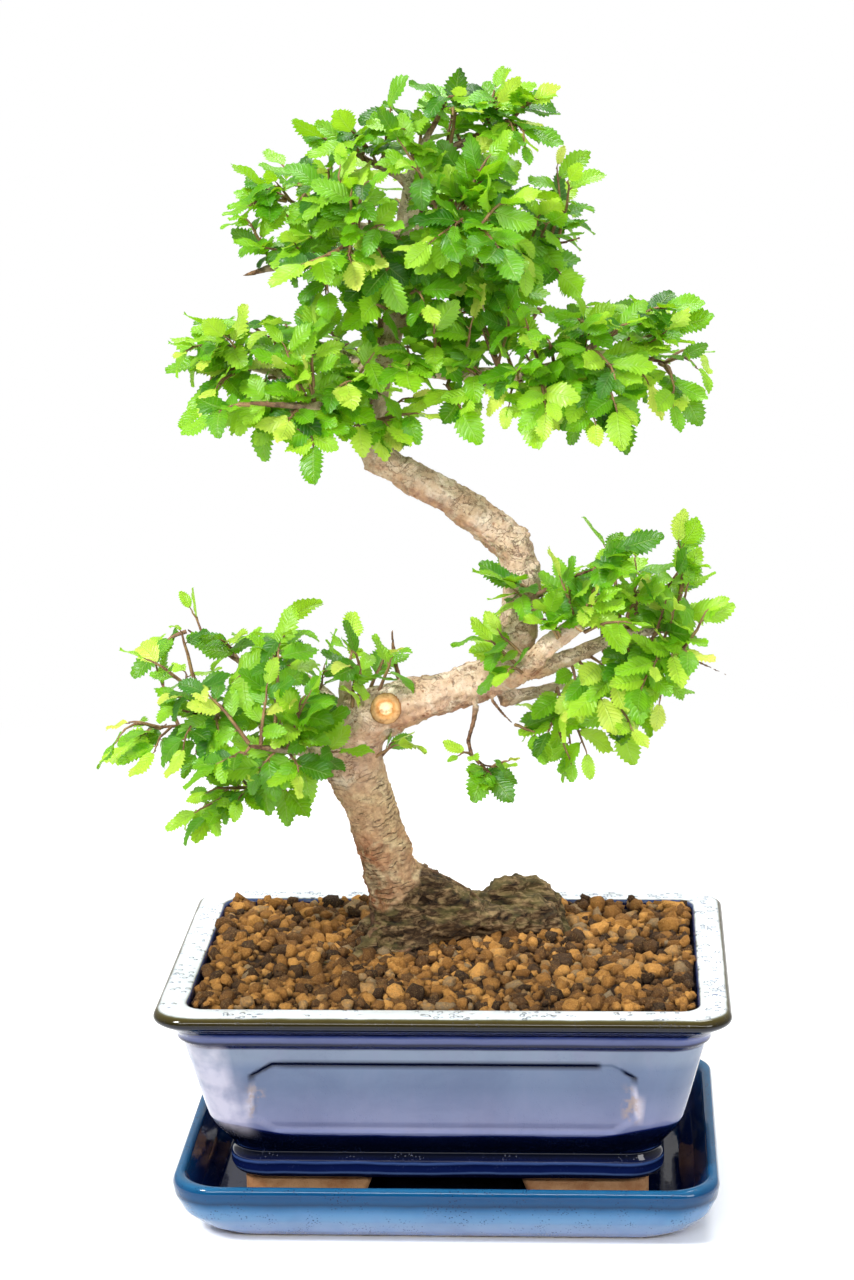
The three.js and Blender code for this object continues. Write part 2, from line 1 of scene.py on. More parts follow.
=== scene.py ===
"""Small elm grown as a bonsai, in a glazed pot on a drip tray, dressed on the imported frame."""

import logging
import math
from dataclasses import dataclass, field
from enum import Enum
from random import Random
from typing import Iterable, Sequence

import bmesh
import bpy
from mathutils import Matrix, Vector, noise
from mathutils.bvhtree import BVHTree
from mathutils.kdtree import KDTree


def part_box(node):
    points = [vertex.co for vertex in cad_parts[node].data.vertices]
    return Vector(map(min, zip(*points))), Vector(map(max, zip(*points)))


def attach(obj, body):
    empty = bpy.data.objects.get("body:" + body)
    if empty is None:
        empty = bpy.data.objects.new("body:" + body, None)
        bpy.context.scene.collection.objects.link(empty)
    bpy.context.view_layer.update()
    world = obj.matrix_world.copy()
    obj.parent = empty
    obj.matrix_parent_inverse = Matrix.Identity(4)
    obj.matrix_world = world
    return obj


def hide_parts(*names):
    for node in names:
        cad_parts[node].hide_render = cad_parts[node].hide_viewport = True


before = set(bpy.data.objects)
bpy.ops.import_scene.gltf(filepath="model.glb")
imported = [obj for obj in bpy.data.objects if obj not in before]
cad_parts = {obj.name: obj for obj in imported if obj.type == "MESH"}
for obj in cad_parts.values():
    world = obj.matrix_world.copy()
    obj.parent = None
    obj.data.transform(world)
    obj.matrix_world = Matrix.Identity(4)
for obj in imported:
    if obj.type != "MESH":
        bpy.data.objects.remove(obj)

LOG = logging.getLogger("bonsai")

MM = 0.001
BODY = "root"
NOISE_SEED = 4
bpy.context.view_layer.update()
WHITE = (1.0, 1.0, 1.0, 1.0)

Colour = tuple[float, float, float, float]
Point = tuple[float, float, float]
Stop = tuple[float, Colour]
Socket = bpy.types.NodeSocket


def srgb(red: int, green: int, blue: int) -> Colour:
    """Turns a colour as it looks on a screen into the linear numbers a shader takes.

    Args:
        red: Red, 0 to 255.
        green: Green, 0 to 255.
        blue: Blue, 0 to 255.

    Returns:
        Linear red, green, blue and an alpha of 1.
    """
    shares = [c / 255 for c in (red, green, blue)]
    linear = [s / 12.92 if s <= 0.04045 else ((s + 0.055) / 1.055) ** 2.4 for s in shares]
    return (linear[0], linear[1], linear[2], 1.0)


def smoothstep(low: float, high: float, value: float) -> float:
    """Rises softly from 0 at low to 1 at high."""
    share = min(max((value - low) / (high - low), 0.0), 1.0)
    return share * share * (3 - 2 * share)


def square_to(direction: Vector, up: Vector) -> Vector:
    """The part of up that stands square to a direction, as a unit vector."""
    flat = up - direction * up.dot(direction)
    if flat.length < 1e-6:
        flat = direction.orthogonal()
    return flat.normalized()


# ---------------------------------------------------------------- pieces and meshes


def placed(name: str, data: bpy.types.ID) -> bpy.types.Object:
    """Makes an object of some data and puts it in the scene."""
    made = bpy.data.objects.new(name, data)
    bpy.context.scene.collection.objects.link(made)
    return made


def finished_piece(name: str, mesh: bpy.types.Mesh, replaced: Sequence[str],
                   materials: Sequence[bpy.types.Material]) -> bpy.types.Object:
    """Makes a mesh a piece of the object, on the one body.

    Args:
        name: The piece's name.
        mesh: Its mesh, in metres, in the frame.
        replaced: The CAD nodes it stands for.
        materials: Its materials, in the order of its faces' material numbers.

    Returns:
        The object.
    """
    mesh.name = name
    for material in materials:
        mesh.materials.append(material)
    piece = placed(name, mesh)
    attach(piece, BODY)
    if replaced:
        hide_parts(*replaced)
    LOG.info("%s: %d faces", name, len(mesh.polygons))
    return piece


def mesh_of(bm: bmesh.types.BMesh, name: str, smooth: bool = True) -> bpy.types.Mesh:
    """Writes a bmesh to a new mesh and frees it.

    Args:
        bm: The bmesh.
        name: The mesh's name.
        smooth: Whether its faces are shaded smooth.

    Returns:
        The mesh.
    """
    for face in bm.faces:
        face.smooth = smooth
    mesh = bpy.data.meshes.new(name)
    bm.to_mesh(mesh)
    bm.free()
    return mesh


def evaluated_mesh(source: bpy.types.Object) -> bpy.types.Mesh:
    """The mesh an object has with its modifiers or its curve's bevel worked out; the object is removed.

    Args:
        source: The object, which the scene doesn't keep.

    Returns:
        A new mesh.
    """
    bpy.context.view_layer.update()
    graph = bpy.context.evaluated_depsgraph_get()
    mesh = bpy.data.meshes.new_from_object(source.evaluated_get(graph))
    data = source.data
    bpy.data.objects.remove(source)
    if isinstance(data, bpy.types.Mesh):
        bpy.data.meshes.remove(data)
    else:
        bpy.data.curves.remove(data)
    return mesh


def merged_copy(node: str) -> bmesh.types.BMesh:
    """A bmesh of a CAD node whose loose triangles are joined.

    Args:
        node: The node's name.

    Returns:
        The bmesh.
    """
    bm = bmesh.new()
    bm.from_mesh(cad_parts[node].data)
    bmesh.ops.remove_doubles(bm, verts=bm.verts, dist=0.002 * MM)
    bm.verts.ensure_lookup_table()
    return bm


# ---------------------------------------------------------------- material graphs


class Graph:
    """The nodes of one material or world, with short calls for the ones used here."""

    def __init__(self, owner: bpy.types.Material | bpy.types.World, output: str = "OutputMaterial") -> None:
        """Empties the graph of a material or a world.

        Args:
            owner: The material or world.
            output: The type of its output node, without the leading ShaderNode.
        """
        self.owner = owner
        self.owner.use_nodes = True
        self.tree = self.owner.node_tree
        self.tree.nodes.clear()
        self.output = self.tree.nodes.new("ShaderNode" + output)

    def node(self, kind: str, inputs: dict[str | int, object], **settings: object) -> bpy.types.Node:
        """Adds a shader node.

        Args:
            kind: Its type, without the leading ShaderNode.
            inputs: What goes into its sockets, by name or number: a socket to link, or a value.
            **settings: Its own settings.

        Returns:
            The node.
        """
        made = self.tree.nodes.new("ShaderNode" + kind)
        for key, value in settings.items():
            setattr(made, key, value)
        for key, value in inputs.items():
            if isinstance(value, Socket):
                self.tree.links.new(value, made.inputs[key])
            else:
                made.inputs[key].default_value = value
        return made

    def place(self) -> Socket:
        """Where a point is on the object, in metres."""
        return self.node("TexCoord", {}).outputs["Object"]

    def axes(self, vector: Socket) -> list[Socket]:
        """The x, y and z of a vector."""
        return list(self.node("SeparateXYZ", {0: vector}).outputs)

    def upward(self) -> Socket:
        """How far the surface faces up, from -1 to 1."""
        return self.axes(self.node("NewGeometry", {}).outputs["Normal"])[2]

    def stretched(self, vector: Socket, scale: tuple[float, float, float]) -> Socket:
        """A vector scaled differently along each axis."""
        return self.node("Mapping", {"Vector": vector, "Scale": scale}).outputs[0]

    def noise(self, vector: Socket, scale: float, detail: float = 3.0, roughness: float = 0.5,
              distortion: float = 0.0) -> Socket:
        """Soft noise from 0 to 1."""
        return self.node("TexNoise", {"Vector": vector, "Scale": scale, "Detail": detail,
                                      "Roughness": roughness, "Distortion": distortion}).outputs[0]

    def cells(self, vector: Socket, scale: float) -> Socket:
        """Distance to the nearest middle in a pattern of cells."""
        return self.node("TexVoronoi", {"Vector": vector, "Scale": scale}).outputs["Distance"]

    def math(self, operation: str, first: object, second: object = 0.0) -> Socket:
        """One sum on two numbers."""
        return self.node("Math", {0: first, 1: second}, operation=operation).outputs[0]

    def times(self, first: object, *others: object) -> Socket:
        """The product of numbers."""
        for other in others:
            first = self.math("MULTIPLY", first, other)
        return first

    def sway(self, value: object, wave: Socket, amount: float) -> Socket:
        """A number moved up and down by a noise, by at most half the amount each way."""
        return self.math("ADD", value, self.times(self.math("SUBTRACT", wave, 0.5), amount))

    def level(self, value: Socket, low: float, high: float, bottom: float = 0.0, top: float = 1.0) -> Socket:
        """Goes softly from bottom to top as the value goes from low to high."""
        return self.node("MapRange", {"Value": value, "From Min": low, "From Max": high,
                                      "To Min": bottom, "To Max": top},
                         interpolation_type="SMOOTHSTEP").outputs[0]

    def ramp(self, value: Socket, stops: Sequence[Stop], top: float = 1.0) -> Socket:
        """Colours along a number from 0 to 1; the stops' places are shares of top."""
        made = self.node("ValToRGB", {0: value})
        band = made.color_ramp.elements
        while len(band) < len(stops):
            band.new(0.5)
        for element, (at, _) in zip(band, stops):
            element.position = at / top
        for element, (_, colour) in zip(band, stops):
            element.color = colour
        return made.outputs[0]

    def mix(self, share: object, first: object, second: object, blend: str = "MIX") -> Socket:
        """Mixes two colours."""
        return self.node("Mix", {0: share, 6: first, 7: second}, data_type="RGBA",
                         blend_type=blend).outputs[2]

    def tinted(self, colour: Socket, tint: object, value: Socket, low: float, high: float,
               most: float = 1.0) -> Socket:
        """A colour that goes over to a tint as a value goes from low to high.

        Args:
            colour: The colour.
            tint: The tint.
            value: The number that brings the tint in.
            low: Where the tint starts.
            high: Where it is at its most.
            most: Its greatest share.

        Returns:
            The colour with the tint.
        """
        return self.mix(self.level(value, low, high, 0.0, most), colour, tint)

    def bump(self, height: Socket, depth: float, strength: float = 1.0,
             under: Socket | None = None) -> Socket:
        """A normal roughened by a height, depth in metres, over another normal if one is given."""
        inputs: dict[str | int, object] = {"Height": height, "Distance": depth, "Strength": strength}
        if under is not None:
            inputs["Normal"] = under
        return self.node("Bump", inputs).outputs[0]

    def attribute(self, name: str) -> Socket:
        """A number stored on the mesh's points."""
        return self.node("Attribute", {}, attribute_name=name).outputs["Fac"]

    def surface(self, colour: Socket, roughness: object, normal: Socket, specular: float = 0.5) -> Socket:
        """The shader of an opaque surface."""
        return self.node("BsdfPrincipled", {"Base Color": colour, "Roughness": roughness, "Normal": normal,
                                            "Specular IOR Level": specular}).outputs[0]

    def done(self, shader: Socket) -> bpy.types.Material | bpy.types.World:
        """Ends the graph with its shader."""
        self.tree.links.new(shader, self.output.inputs["Surface"])
        return self.owner


@dataclass(frozen=True)
class GlazeFinish:
    """Glossy ceramic glaze whose colour breaks with height, pools in lines that are partly painted shade,
    carries painted highlights and reflection, and runs dark inside.

    The heights of the colours, of the wetted rim and of the climbing foot are in millimetres.
    """

    name: str
    heights: tuple[Stop, ...]
    inside: tuple[Stop, ...]
    pooled_and_shaded: Colour
    tint: Colour
    speckle: Colour
    # Pale colour painted as highlight on the left upright corner and at the panel ends.
    painted_highlight: Colour
    cloud: Colour = srgb(110, 120, 170)
    bronze: Colour = srgb(140, 122, 112)
    drop_ring: Colour = srgb(120, 142, 172)
    rim_pit: Colour = srgb(44, 66, 116)
    speckle_share: float = 0.5
    drift: float = 1.6
    roughness: float = 0.07
    specular: float = 0.34
    beads_from: float = 1000.0
    creep_below: float = -100.0
    creep_fade: float = 6.0
    creep_rise: float = 5.0
    creep_sway: float = 3.2

    def drifted(self, g: Graph, place: Socket, z: Socket) -> Socket:
        """The height that a point takes its colour from, as a share of the highest stop.

        Args:
            g: The graph.
            place: Where a point is.
            z: Its height.

        Returns:
            The share.
        """
        height = g.sway(z, g.noise(place, 55, 4, 0.55), self.drift * 2 * MM)
        creep = g.sway(g.times(g.attribute("creep"), self.creep_rise * MM), g.noise(place, 24, 3),
                       self.creep_sway * MM)
        low = g.level(z, self.creep_below * MM, (self.creep_below - self.creep_fade) * MM)
        height = g.math("SUBTRACT", height, g.times(creep, low))
        return g.math("DIVIDE", height, self.heights[-1][0] * MM)

    def wall(self, g: Graph, place: Socket, z: Socket, share: Socket, dot: Socket) -> Socket:
        """Colours the outside: bands by height, with painted highlights and reflection among them, then runs,
        clouds, dots, painted highlights on corners and panel ends, and pooled lines that are partly painted
        shade.

        Args:
            g: The graph.
            place: Where a point is.
            z: Its height.
            share: The height that it takes its colour from.
            dot: The dark dots, from 0 to 1.

        Returns:
            The colour.
        """
        colour = g.ramp(share, self.heights, self.heights[-1][0])
        below_rim = g.level(z, (self.beads_from - 0.5) * MM, (self.beads_from - 1.5) * MM)
        light = g.level(g.node("RGBToBW", {0: colour}).outputs[0], 0.08, 0.22)
        run = g.noise(g.stretched(place, (60, 60, 9)), 1.6, 4, 0.6)
        colour = g.mix(g.times(g.level(run, 0.46, 0.7, 0.0, 0.45), light, below_rim), colour, self.tint)
        cloud = g.level(g.noise(place, 26, 5, 0.62, 0.4), 0.4, 0.72, 0.0, 0.22)
        colour = g.mix(g.times(cloud, below_rim), colour, self.cloud, "MULTIPLY")
        colour = g.mix(g.times(dot, self.speckle_share), colour, self.speckle)
        # Painted highlight, read from the thin layer: pale patches where a lamp would reflect on the left
        # corner and the panel ends.
        thin = g.times(g.attribute("thin"), g.level(g.noise(place, 120, 3), 0.3, 0.65, 0.45, 1.0), 0.75)
        colour = g.mix(thin, colour, self.painted_highlight)
        bronze = g.times(g.attribute("bronze"), g.level(g.noise(place, 160, 4, 0.6), 0.44, 0.6), 0.75)
        # The pool layer's dark line is glaze pooling and partly painted shade under the panel's upper lip.
        return g.mix(g.attribute("pool_and_shade"), g.mix(bronze, colour, self.bronze), self.pooled_and_shaded)

    def wet_rim(self, g: Graph, place: Socket, z: Socket, colour: Socket) -> tuple[Socket, Socket]:
        """Sets water drops and small pits on the rim.

        Args:
            g: The graph.
            place: Where a point is.
            z: Its height.
            colour: The glaze's colour.

        Returns:
            The colour, and the drops' height from 0 to 1.
        """
        on_rim = g.level(z, self.beads_from * MM, (self.beads_from + 0.3) * MM)
        cells = g.cells(place, 330)
        wet = g.times(g.level(g.noise(place, 60, 3), 0.44, 0.52), on_rim)
        ring = g.times(g.level(cells, 0.4, 0.34), g.level(cells, 0.2, 0.3), wet, 0.55)
        colour = g.mix(ring, colour, self.drop_ring)
        pits = g.times(g.level(g.noise(place, 170, 3, 0.6), 0.69, 0.72), on_rim, 0.75)
        return g.mix(pits, colour, self.rim_pit), g.times(g.level(cells, 0.36, 0.2), wet)

    def material(self) -> bpy.types.Material:
        """Builds the glaze's nodes.

        Returns:
            The material.
        """
        g = Graph(bpy.data.materials.new(self.name))
        place = g.place()
        z = g.axes(place)[2]
        share = self.drifted(g, place, z)
        dot = g.times(g.level(g.cells(place, 900), 0.34, 0.16), g.level(g.noise(place, 130, 3), 0.46, 0.62))
        within = g.ramp(share, self.inside, self.heights[-1][0])
        colour = g.mix(g.attribute("inside"), self.wall(g, place, z, share, dot), within)
        colour, drops = self.wet_rim(g, place, z, colour)
        normal = g.bump(g.noise(place, 95, 3, 0.5), 0.35 * MM, 0.35)
        normal = g.bump(drops, 1.2 * MM, 1.0, normal)
        normal = g.bump(g.times(dot, -1.0), 0.05 * MM, 0.6, normal)
        rough = g.level(g.noise(place, 420, 3), 0.3, 0.8, self.roughness * 0.6, self.roughness * 1.6)
        return g.done(g.surface(colour, rough, normal, self.specular))


@dataclass(frozen=True)
class ClayFinish:
    """Bare fired clay, speckled and slightly gritty."""

    name: str
    light: Colour
    dark: Colour
    grit: Colour = srgb(92, 58, 38)

    def material(self) -> bpy.types.Material:
        """Builds the clay's nodes."""
        g = Graph(bpy.data.materials.new(self.name))
        place = g.place()
        colour = g.tinted(self.dark, self.light, g.noise(place, 120, 5, 0.6), 0.3, 0.7)
        colour = g.tinted(colour, self.grit, g.cells(place, 1500), 0.3, 0.1, 0.5)
        normal = g.bump(g.noise(place, 1100, 4, 0.65), 0.18 * MM, 0.8)
        return g.done(g.surface(colour, 0.82, normal))


@dataclass(frozen=True)
class GranuleFinish:
    """Baked clay granules for growing in: ochre, brown and grey-brown, rough and porous."""

    name: str
    tones: tuple[Stop, ...]
    pore: Colour = srgb(74, 42, 22)
    dust: Colour = srgb(236, 196, 130)
    dirt: Colour = srgb(72, 46, 22)
    shade: Colour = srgb(40, 26, 14)
    lit_above: float = 91.2
    dark_below: float = 88.0

    def material(self) -> bpy.types.Material:
        """Builds the granules' nodes."""
        g = Graph(bpy.data.materials.new(self.name))
        place = g.place()
        colour = g.ramp(g.sway(g.attribute("tone"), g.noise(place, 620, 4, 0.6), 0.34), self.tones)
        pores = g.cells(place, 1700)
        colour = g.tinted(colour, self.pore, pores, 0.28, 0.08, 0.45)
        dust = g.noise(place, 2600, 3, 0.7)
        colour = g.tinted(colour, self.dust, dust, 0.54, 0.76, 0.45)
        colour = g.tinted(colour, self.dirt, dust, 0.46, 0.26, 0.65)
        height = g.axes(place)[2]
        colour = g.tinted(colour, self.shade, height, self.lit_above * MM, self.dark_below * MM, 0.92)
        coarse = g.bump(g.noise(place, 800, 6, 0.75), 1.0 * MM)
        return g.done(g.surface(colour, 0.93, g.bump(pores, 0.35 * MM, 0.7, coarse), 0.25))


@dataclass(frozen=True)
class BarkFinish:
    """Elm bark: cream plates with thin cracks, ring lines on the lower trunk, dark and mossy roots."""

    name: str
    pale: Colour
    warm: Colour
    grey: Colour
    crack: Colour
    flake: Colour
    root: Colour
    root_light: Colour
    moss: Colour
    grain_dark: Colour = srgb(142, 116, 92)
    grain_light: Colour = srgb(250, 240, 222)
    speck: Colour = srgb(122, 84, 56)
    under_plates: Colour = srgb(186, 150, 116)
    khaki: tuple[Colour, Colour] = (srgb(178, 148, 104), srgb(232, 206, 156))
    rust_light: Colour = srgb(196, 142, 100)
    wrinkle: Colour = srgb(122, 94, 64)
    crumb: Colour = srgb(120, 94, 68)
    root_crack: Colour = srgb(26, 18, 12)
    twig: tuple[Colour, Colour] = (srgb(84, 58, 40), srgb(138, 104, 76))
    cut_fibre: Colour = srgb(170, 104, 50)
    cut_rings: tuple[Stop, ...] = (
        (0.0, srgb(120, 84, 54)), (0.2, srgb(172, 116, 66)), (0.42, srgb(218, 172, 116)),
        (0.58, srgb(206, 140, 72)), (0.7, srgb(236, 208, 160)), (1.0, srgb(246, 226, 188)),
    )
    ring_gap: float = 2.3

    def plates(self, g: Graph, place: Socket) -> tuple[Socket, Socket]:
        """Colours the cream plates, their stains, specks and cracks.

        Args:
            g: The graph.
            place: Where a point is.

        Returns:
            The colour, and the height of the plates for the bump.
        """
        colour = g.tinted(self.warm, self.pale, g.noise(place, 60, 4, 0.6), 0.36, 0.64)
        colour = g.tinted(colour, self.grey, g.noise(place, 190, 5, 0.65, 0.4), 0.5, 0.72, 0.75)
        grain = g.noise(place, 900, 4, 0.7)
        colour = g.tinted(colour, self.grain_dark, grain, 0.56, 0.74, 0.5)
        colour = g.tinted(colour, self.grain_light, grain, 0.44, 0.28, 0.45)
        speckled = g.level(g.noise(place, 130, 2), 0.5, 0.62)
        specks = g.times(g.level(g.cells(place, 420), 0.3, 0.16), speckled, 0.8)
        colour = g.mix(specks, colour, self.speck)
        layer = g.noise(g.stretched(place, (1, 1, 1.35)), 150, 6, 0.66, 0.5)
        colour = g.mix(g.times(g.level(layer, 0.515, 0.5), 0.3), colour, self.under_plates)
        flaky = g.math("ADD", g.noise(place, 75, 3), g.times(g.upward(), 0.14))
        edge = g.level(g.math("ABSOLUTE", g.math("SUBTRACT", layer, 0.505)), 0.022, 0.004)
        edge = g.times(edge, g.level(flaky, 0.42, 0.58))
        colour = g.mix(g.times(edge, 0.7), colour, self.crack)
        return colour, g.math("SUBTRACT", g.level(layer, 0.495, 0.515), g.times(edge, 0.6))

    def rings(self, g: Graph, place: Socket) -> Socket:
        """Thin dark lines round the lower trunk, from 0 to 1."""
        turns = g.math("DIVIDE", g.attribute("run"), self.ring_gap)
        turns = g.math("ADD", turns, g.times(g.noise(place, 120, 4, 0.6), 2.6))
        beat = g.math("PINGPONG", turns, 0.5)
        patch = g.level(g.noise(place, 170, 3), 0.42, 0.6)
        return g.times(g.level(beat, 0.14, 0.03), patch, g.attribute("ringed"))

    def weathered(self, g: Graph, place: Socket, colour: Socket, rings: Socket) -> Socket:
        """Ages the lower trunk: khaki, rust, ring lines, wrinkles and crumbs.

        Args:
            g: The graph.
            place: Where a point is.
            colour: The plates' colour.
            rings: The ring lines, from 0 to 1.

        Returns:
            The colour.
        """
        khaki = g.tinted(self.khaki[0], self.khaki[1], g.noise(place, 300, 5, 0.65), 0.38, 0.62)
        colour = g.mix(g.times(g.level(g.attribute("ringed"), 0.45, 1.0), 0.7), colour, khaki)
        stain = g.times(g.level(g.noise(place, 105, 5, 0.66, 0.6), 0.36, 0.55), g.attribute("rust"))
        rust = g.tinted(self.flake, self.rust_light, g.noise(place, 420, 3), 0.35, 0.65)
        colour = g.mix(stain, colour, rust)
        colour = g.mix(g.times(rings, 0.8), colour, self.crack)
        colour = g.mix(g.times(g.attribute("wrinkle"), 0.5), colour, self.wrinkle)
        return g.tinted(colour, self.crumb, g.noise(place, 520, 5, 0.7), 0.54, 0.7, 0.5)

    def rooty(self, g: Graph, place: Socket, colour: Socket) -> Socket:
        """Turns the colour to dark, streaked, mossy root near the soil."""
        grain = g.noise(g.stretched(place, (0.3, 1.1, 1.1)), 420, 6, 0.68, 0.6)
        root = g.tinted(self.root, self.root_light, grain, 0.44, 0.68)
        root = g.tinted(root, self.root_crack, grain, 0.46, 0.36)
        damp = g.sway(g.attribute("low"), g.noise(place, 120, 4, 0.6), 0.8)
        colour = g.tinted(colour, root, damp, 0.35, 0.7)
        facing = g.level(g.upward(), -0.1, 0.7, 0.0, 0.16)
        mossy = g.level(g.math("ADD", g.noise(place, 90, 6, 0.7), facing), 0.5, 0.8)
        return g.mix(g.times(mossy, g.attribute("moss"), 0.55), colour, self.moss)

    def cut_wood(self, g: Graph, place: Socket, colour: Socket) -> Socket:
        """Shows pale, ringed wood where the bark is cut away."""
        cut = g.attribute("cut")
        wood = g.ramp(g.sway(cut, g.noise(place, 420, 4, 0.6), 0.34), self.cut_rings)
        wood = g.tinted(wood, self.cut_fibre, g.noise(place, 500, 5, 0.65), 0.5, 0.68, 0.6)
        return g.tinted(colour, wood, cut, 0.02, 0.12)

    def material(self) -> bpy.types.Material:
        """Builds the bark's nodes.

        Returns:
            The material.
        """
        g = Graph(bpy.data.materials.new(self.name))
        place = g.place()
        colour, relief = self.plates(g, place)
        rings = self.rings(g, place)
        colour = self.rooty(g, place, self.weathered(g, place, colour, rings))
        twig = g.tinted(self.twig[0], self.twig[1], g.noise(place, 500, 4), 0.35, 0.65)
        colour = self.cut_wood(g, place, g.mix(g.attribute("twig"), colour, twig))
        normal = g.bump(g.noise(place, 230, 6, 0.7, 0.5), 1.8 * MM, 0.85)
        normal = g.bump(relief, 0.5 * MM, 0.7, normal)
        normal = g.bump(g.math("SUBTRACT", 1.0, rings), 0.6 * MM, 0.9, normal)
        normal = g.bump(g.noise(place, 1500, 4, 0.7), 0.25 * MM, 0.6, normal)
        return g.done(g.surface(colour, 0.86, normal, 0.3))


@dataclass(frozen=True)
class TwigFinish:
    """Young shoot: thin brown bark, paler in places, with light dots."""

    name: str
    old: Colour
    young: Colour
    dot: Colour = srgb(206, 184, 146)

    def material(self) -> bpy.types.Material:
        """Builds the shoot's nodes."""
        g = Graph(bpy.data.materials.new(self.name))
        place = g.place()
        colour = g.tinted(self.old, self.young, g.noise(place, 170, 4, 0.6), 0.4, 0.62)
        colour = g.tinted(colour, self.dot, g.cells(place, 1500), 0.25, 0.1, 0.5)
        normal = g.bump(g.noise(place, 1900, 3, 0.6), 0.12 * MM, 0.7)
        return g.done(g.surface(colour, 0.68, normal))


@dataclass(frozen=True)
class LeafFinish:
    """Elm leaf: waxy green blade with a pale midrib and side veins, light shining through it."""

    name: str
    tones: tuple[Stop, ...]
    vein: Colour
    glow: tuple[Stop, ...]
    side_veins: float = 8.0
    slant: float = 0.42
    vein_share: float = 0.2
    seen_through: float = 0.4

    def material(self) -> bpy.types.Material:
        """Builds the leaf's nodes.

        Returns:
            The material.
        """
        g = Graph(bpy.data.materials.new(self.name))
        place = g.place()
        across, along, _ = g.axes(g.node("TexCoord", {}).outputs["UV"])
        aside = g.math("ABSOLUTE", g.math("SUBTRACT", across, 0.5))
        slanted = g.math("SUBTRACT", along, g.times(aside, self.slant))
        beat = g.math("PINGPONG", g.times(slanted, self.side_veins), 0.5)
        side = g.times(g.level(beat, 0.1, 0.02), g.level(aside, 0.47, 0.36))
        mid = g.level(aside, 0.045, 0.018)
        veins = g.times(g.math("MAXIMUM", g.times(side, 0.6), mid), self.vein_share)
        tone = g.attribute("tone")
        colour = g.ramp(g.sway(tone, g.noise(place, 240, 4, 0.6), 0.22), self.tones)
        colour = g.mix(veins, colour, self.vein)
        normal = g.bump(g.level(beat, 0.0, 0.32), 0.3 * MM, 0.4)
        normal = g.bump(mid, 0.25 * MM, 0.6, normal)
        normal = g.bump(g.noise(place, 2200, 3, 0.6), 0.06 * MM, 0.5, normal)
        rough = g.level(g.noise(place, 350, 3), 0.3, 0.7, 0.3, 0.46)
        blade = g.surface(colour, rough, normal, 0.62)
        light = g.mix(veins, g.ramp(tone, self.glow), self.vein)
        through = g.node("BsdfTranslucent", {"Color": light, "Normal": normal}).outputs[0]
        return g.done(g.node("MixShader", {0: self.seen_through, 1: blade, 2: through}).outputs[0])


@dataclass(frozen=True)
class MeshPlasticFinish:
    """Dark moulded plastic of the drain meshes."""

    name: str
    colour: Colour
    scuff: Colour = srgb(96, 84, 70)

    def material(self) -> bpy.types.Material:
        """Builds the plastic's nodes."""
        g = Graph(bpy.data.materials.new(self.name))
        place = g.place()
        colour = g.tinted(self.colour, self.scuff, g.noise(place, 700, 4, 0.7), 0.55, 0.8, 0.4)
        return g.done(g.surface(colour, 0.5, g.bump(g.noise(place, 3000, 2), 0.05 * MM, 0.6)))


@dataclass(frozen=True)
class FloorFinish:
    """Pale matt studio floor that goes over to plain white away from the object."""

    name: str = "studio_floor"
    matt_within: float = 0.24
    white_from: float = 0.75

    def material(self) -> bpy.types.Material:
        """Builds the floor's nodes."""
        g = Graph(bpy.data.materials.new(self.name))
        place = g.place()
        colour = g.mix(g.noise(place, 3, 2), srgb(252, 252, 252), srgb(249, 250, 251))
        matt = g.node("BsdfPrincipled", {"Base Color": colour, "Roughness": 0.6}).outputs[0]
        bright = g.node("Emission", {"Color": WHITE, "Strength": 1.0}).outputs[0]
        away = g.node("VectorMath", {0: place}, operation="LENGTH").outputs["Value"]
        share = g.level(away, self.matt_within, self.white_from)
        return g.done(g.node("MixShader", {0: share, 1: matt, 2: bright}).outputs[0])


POT_GLAZE = GlazeFinish(
    name="pot_glaze_lavender",
    # The near-black stops below 38 mm are the navy glaze darkened with partly painted shade, on the base band
    # and the underside that faces down.
    heights=(
        # The pale stops at 22.4 and 26.4 mm are painted highlight lines along the base band.
        (0, srgb(2, 5, 20)), (19.6, srgb(2, 5, 20)), (21.6, srgb(6, 12, 44)), (22.4, srgb(78, 104, 156)),
        (23.0, srgb(14, 28, 78)), (25.6, srgb(6, 14, 50)), (26.4, srgb(60, 84, 136)),
        (27.0, srgb(8, 16, 52)), (29, srgb(2, 5, 20)), (33, srgb(2, 4, 16)),
        (37.8, srgb(3, 8, 32)), (38.8, srgb(12, 22, 70)), (39.3, srgb(96, 104, 140)),
        (42, srgb(108, 112, 142)), (46, srgb(104, 110, 140)), (60, srgb(84, 97, 124)),
        (68, srgb(88, 102, 128)), (72, srgb(106, 118, 138)), (75.8, srgb(110, 122, 142)),
        (76.5, srgb(8, 16, 58)), (78.9, srgb(5, 10, 42)), (79.6, srgb(72, 80, 120)),
        (81.0, srgb(76, 84, 124)), (82.2, srgb(36, 44, 92)), (83.0, srgb(6, 10, 40)),
        (87.6, srgb(3, 5, 22)), (88.4, srgb(26, 22, 6)), (89.6, srgb(48, 40, 6)), (90.4, srgb(60, 52, 12)),
        # From 90.95 mm up the rim top is painted near-white reflection over its lavender-navy glaze.
        (90.75, srgb(96, 96, 70)), (90.95, srgb(222, 228, 234)), (92, srgb(240, 244, 248)),
    ),
    inside=(
        (0, srgb(8, 12, 34)), (80, srgb(8, 12, 38)), (89.4, srgb(12, 20, 56)),
        # From 90.95 mm up, where the inner edge meets the rim top, it is painted near-white reflection, as
        # outside.
        (90.6, srgb(60, 76, 116)), (90.95, srgb(226, 232, 240)), (92, srgb(240, 244, 248)),
    ),
    pooled_and_shaded=srgb(2, 6, 30),
    tint=srgb(112, 112, 138),
    speckle=srgb(62, 74, 116),
    painted_highlight=srgb(204, 198, 210),
    speckle_share=0.15,
    drift=0.3,
    beads_from=90.6,
    creep_below=50.0,
)

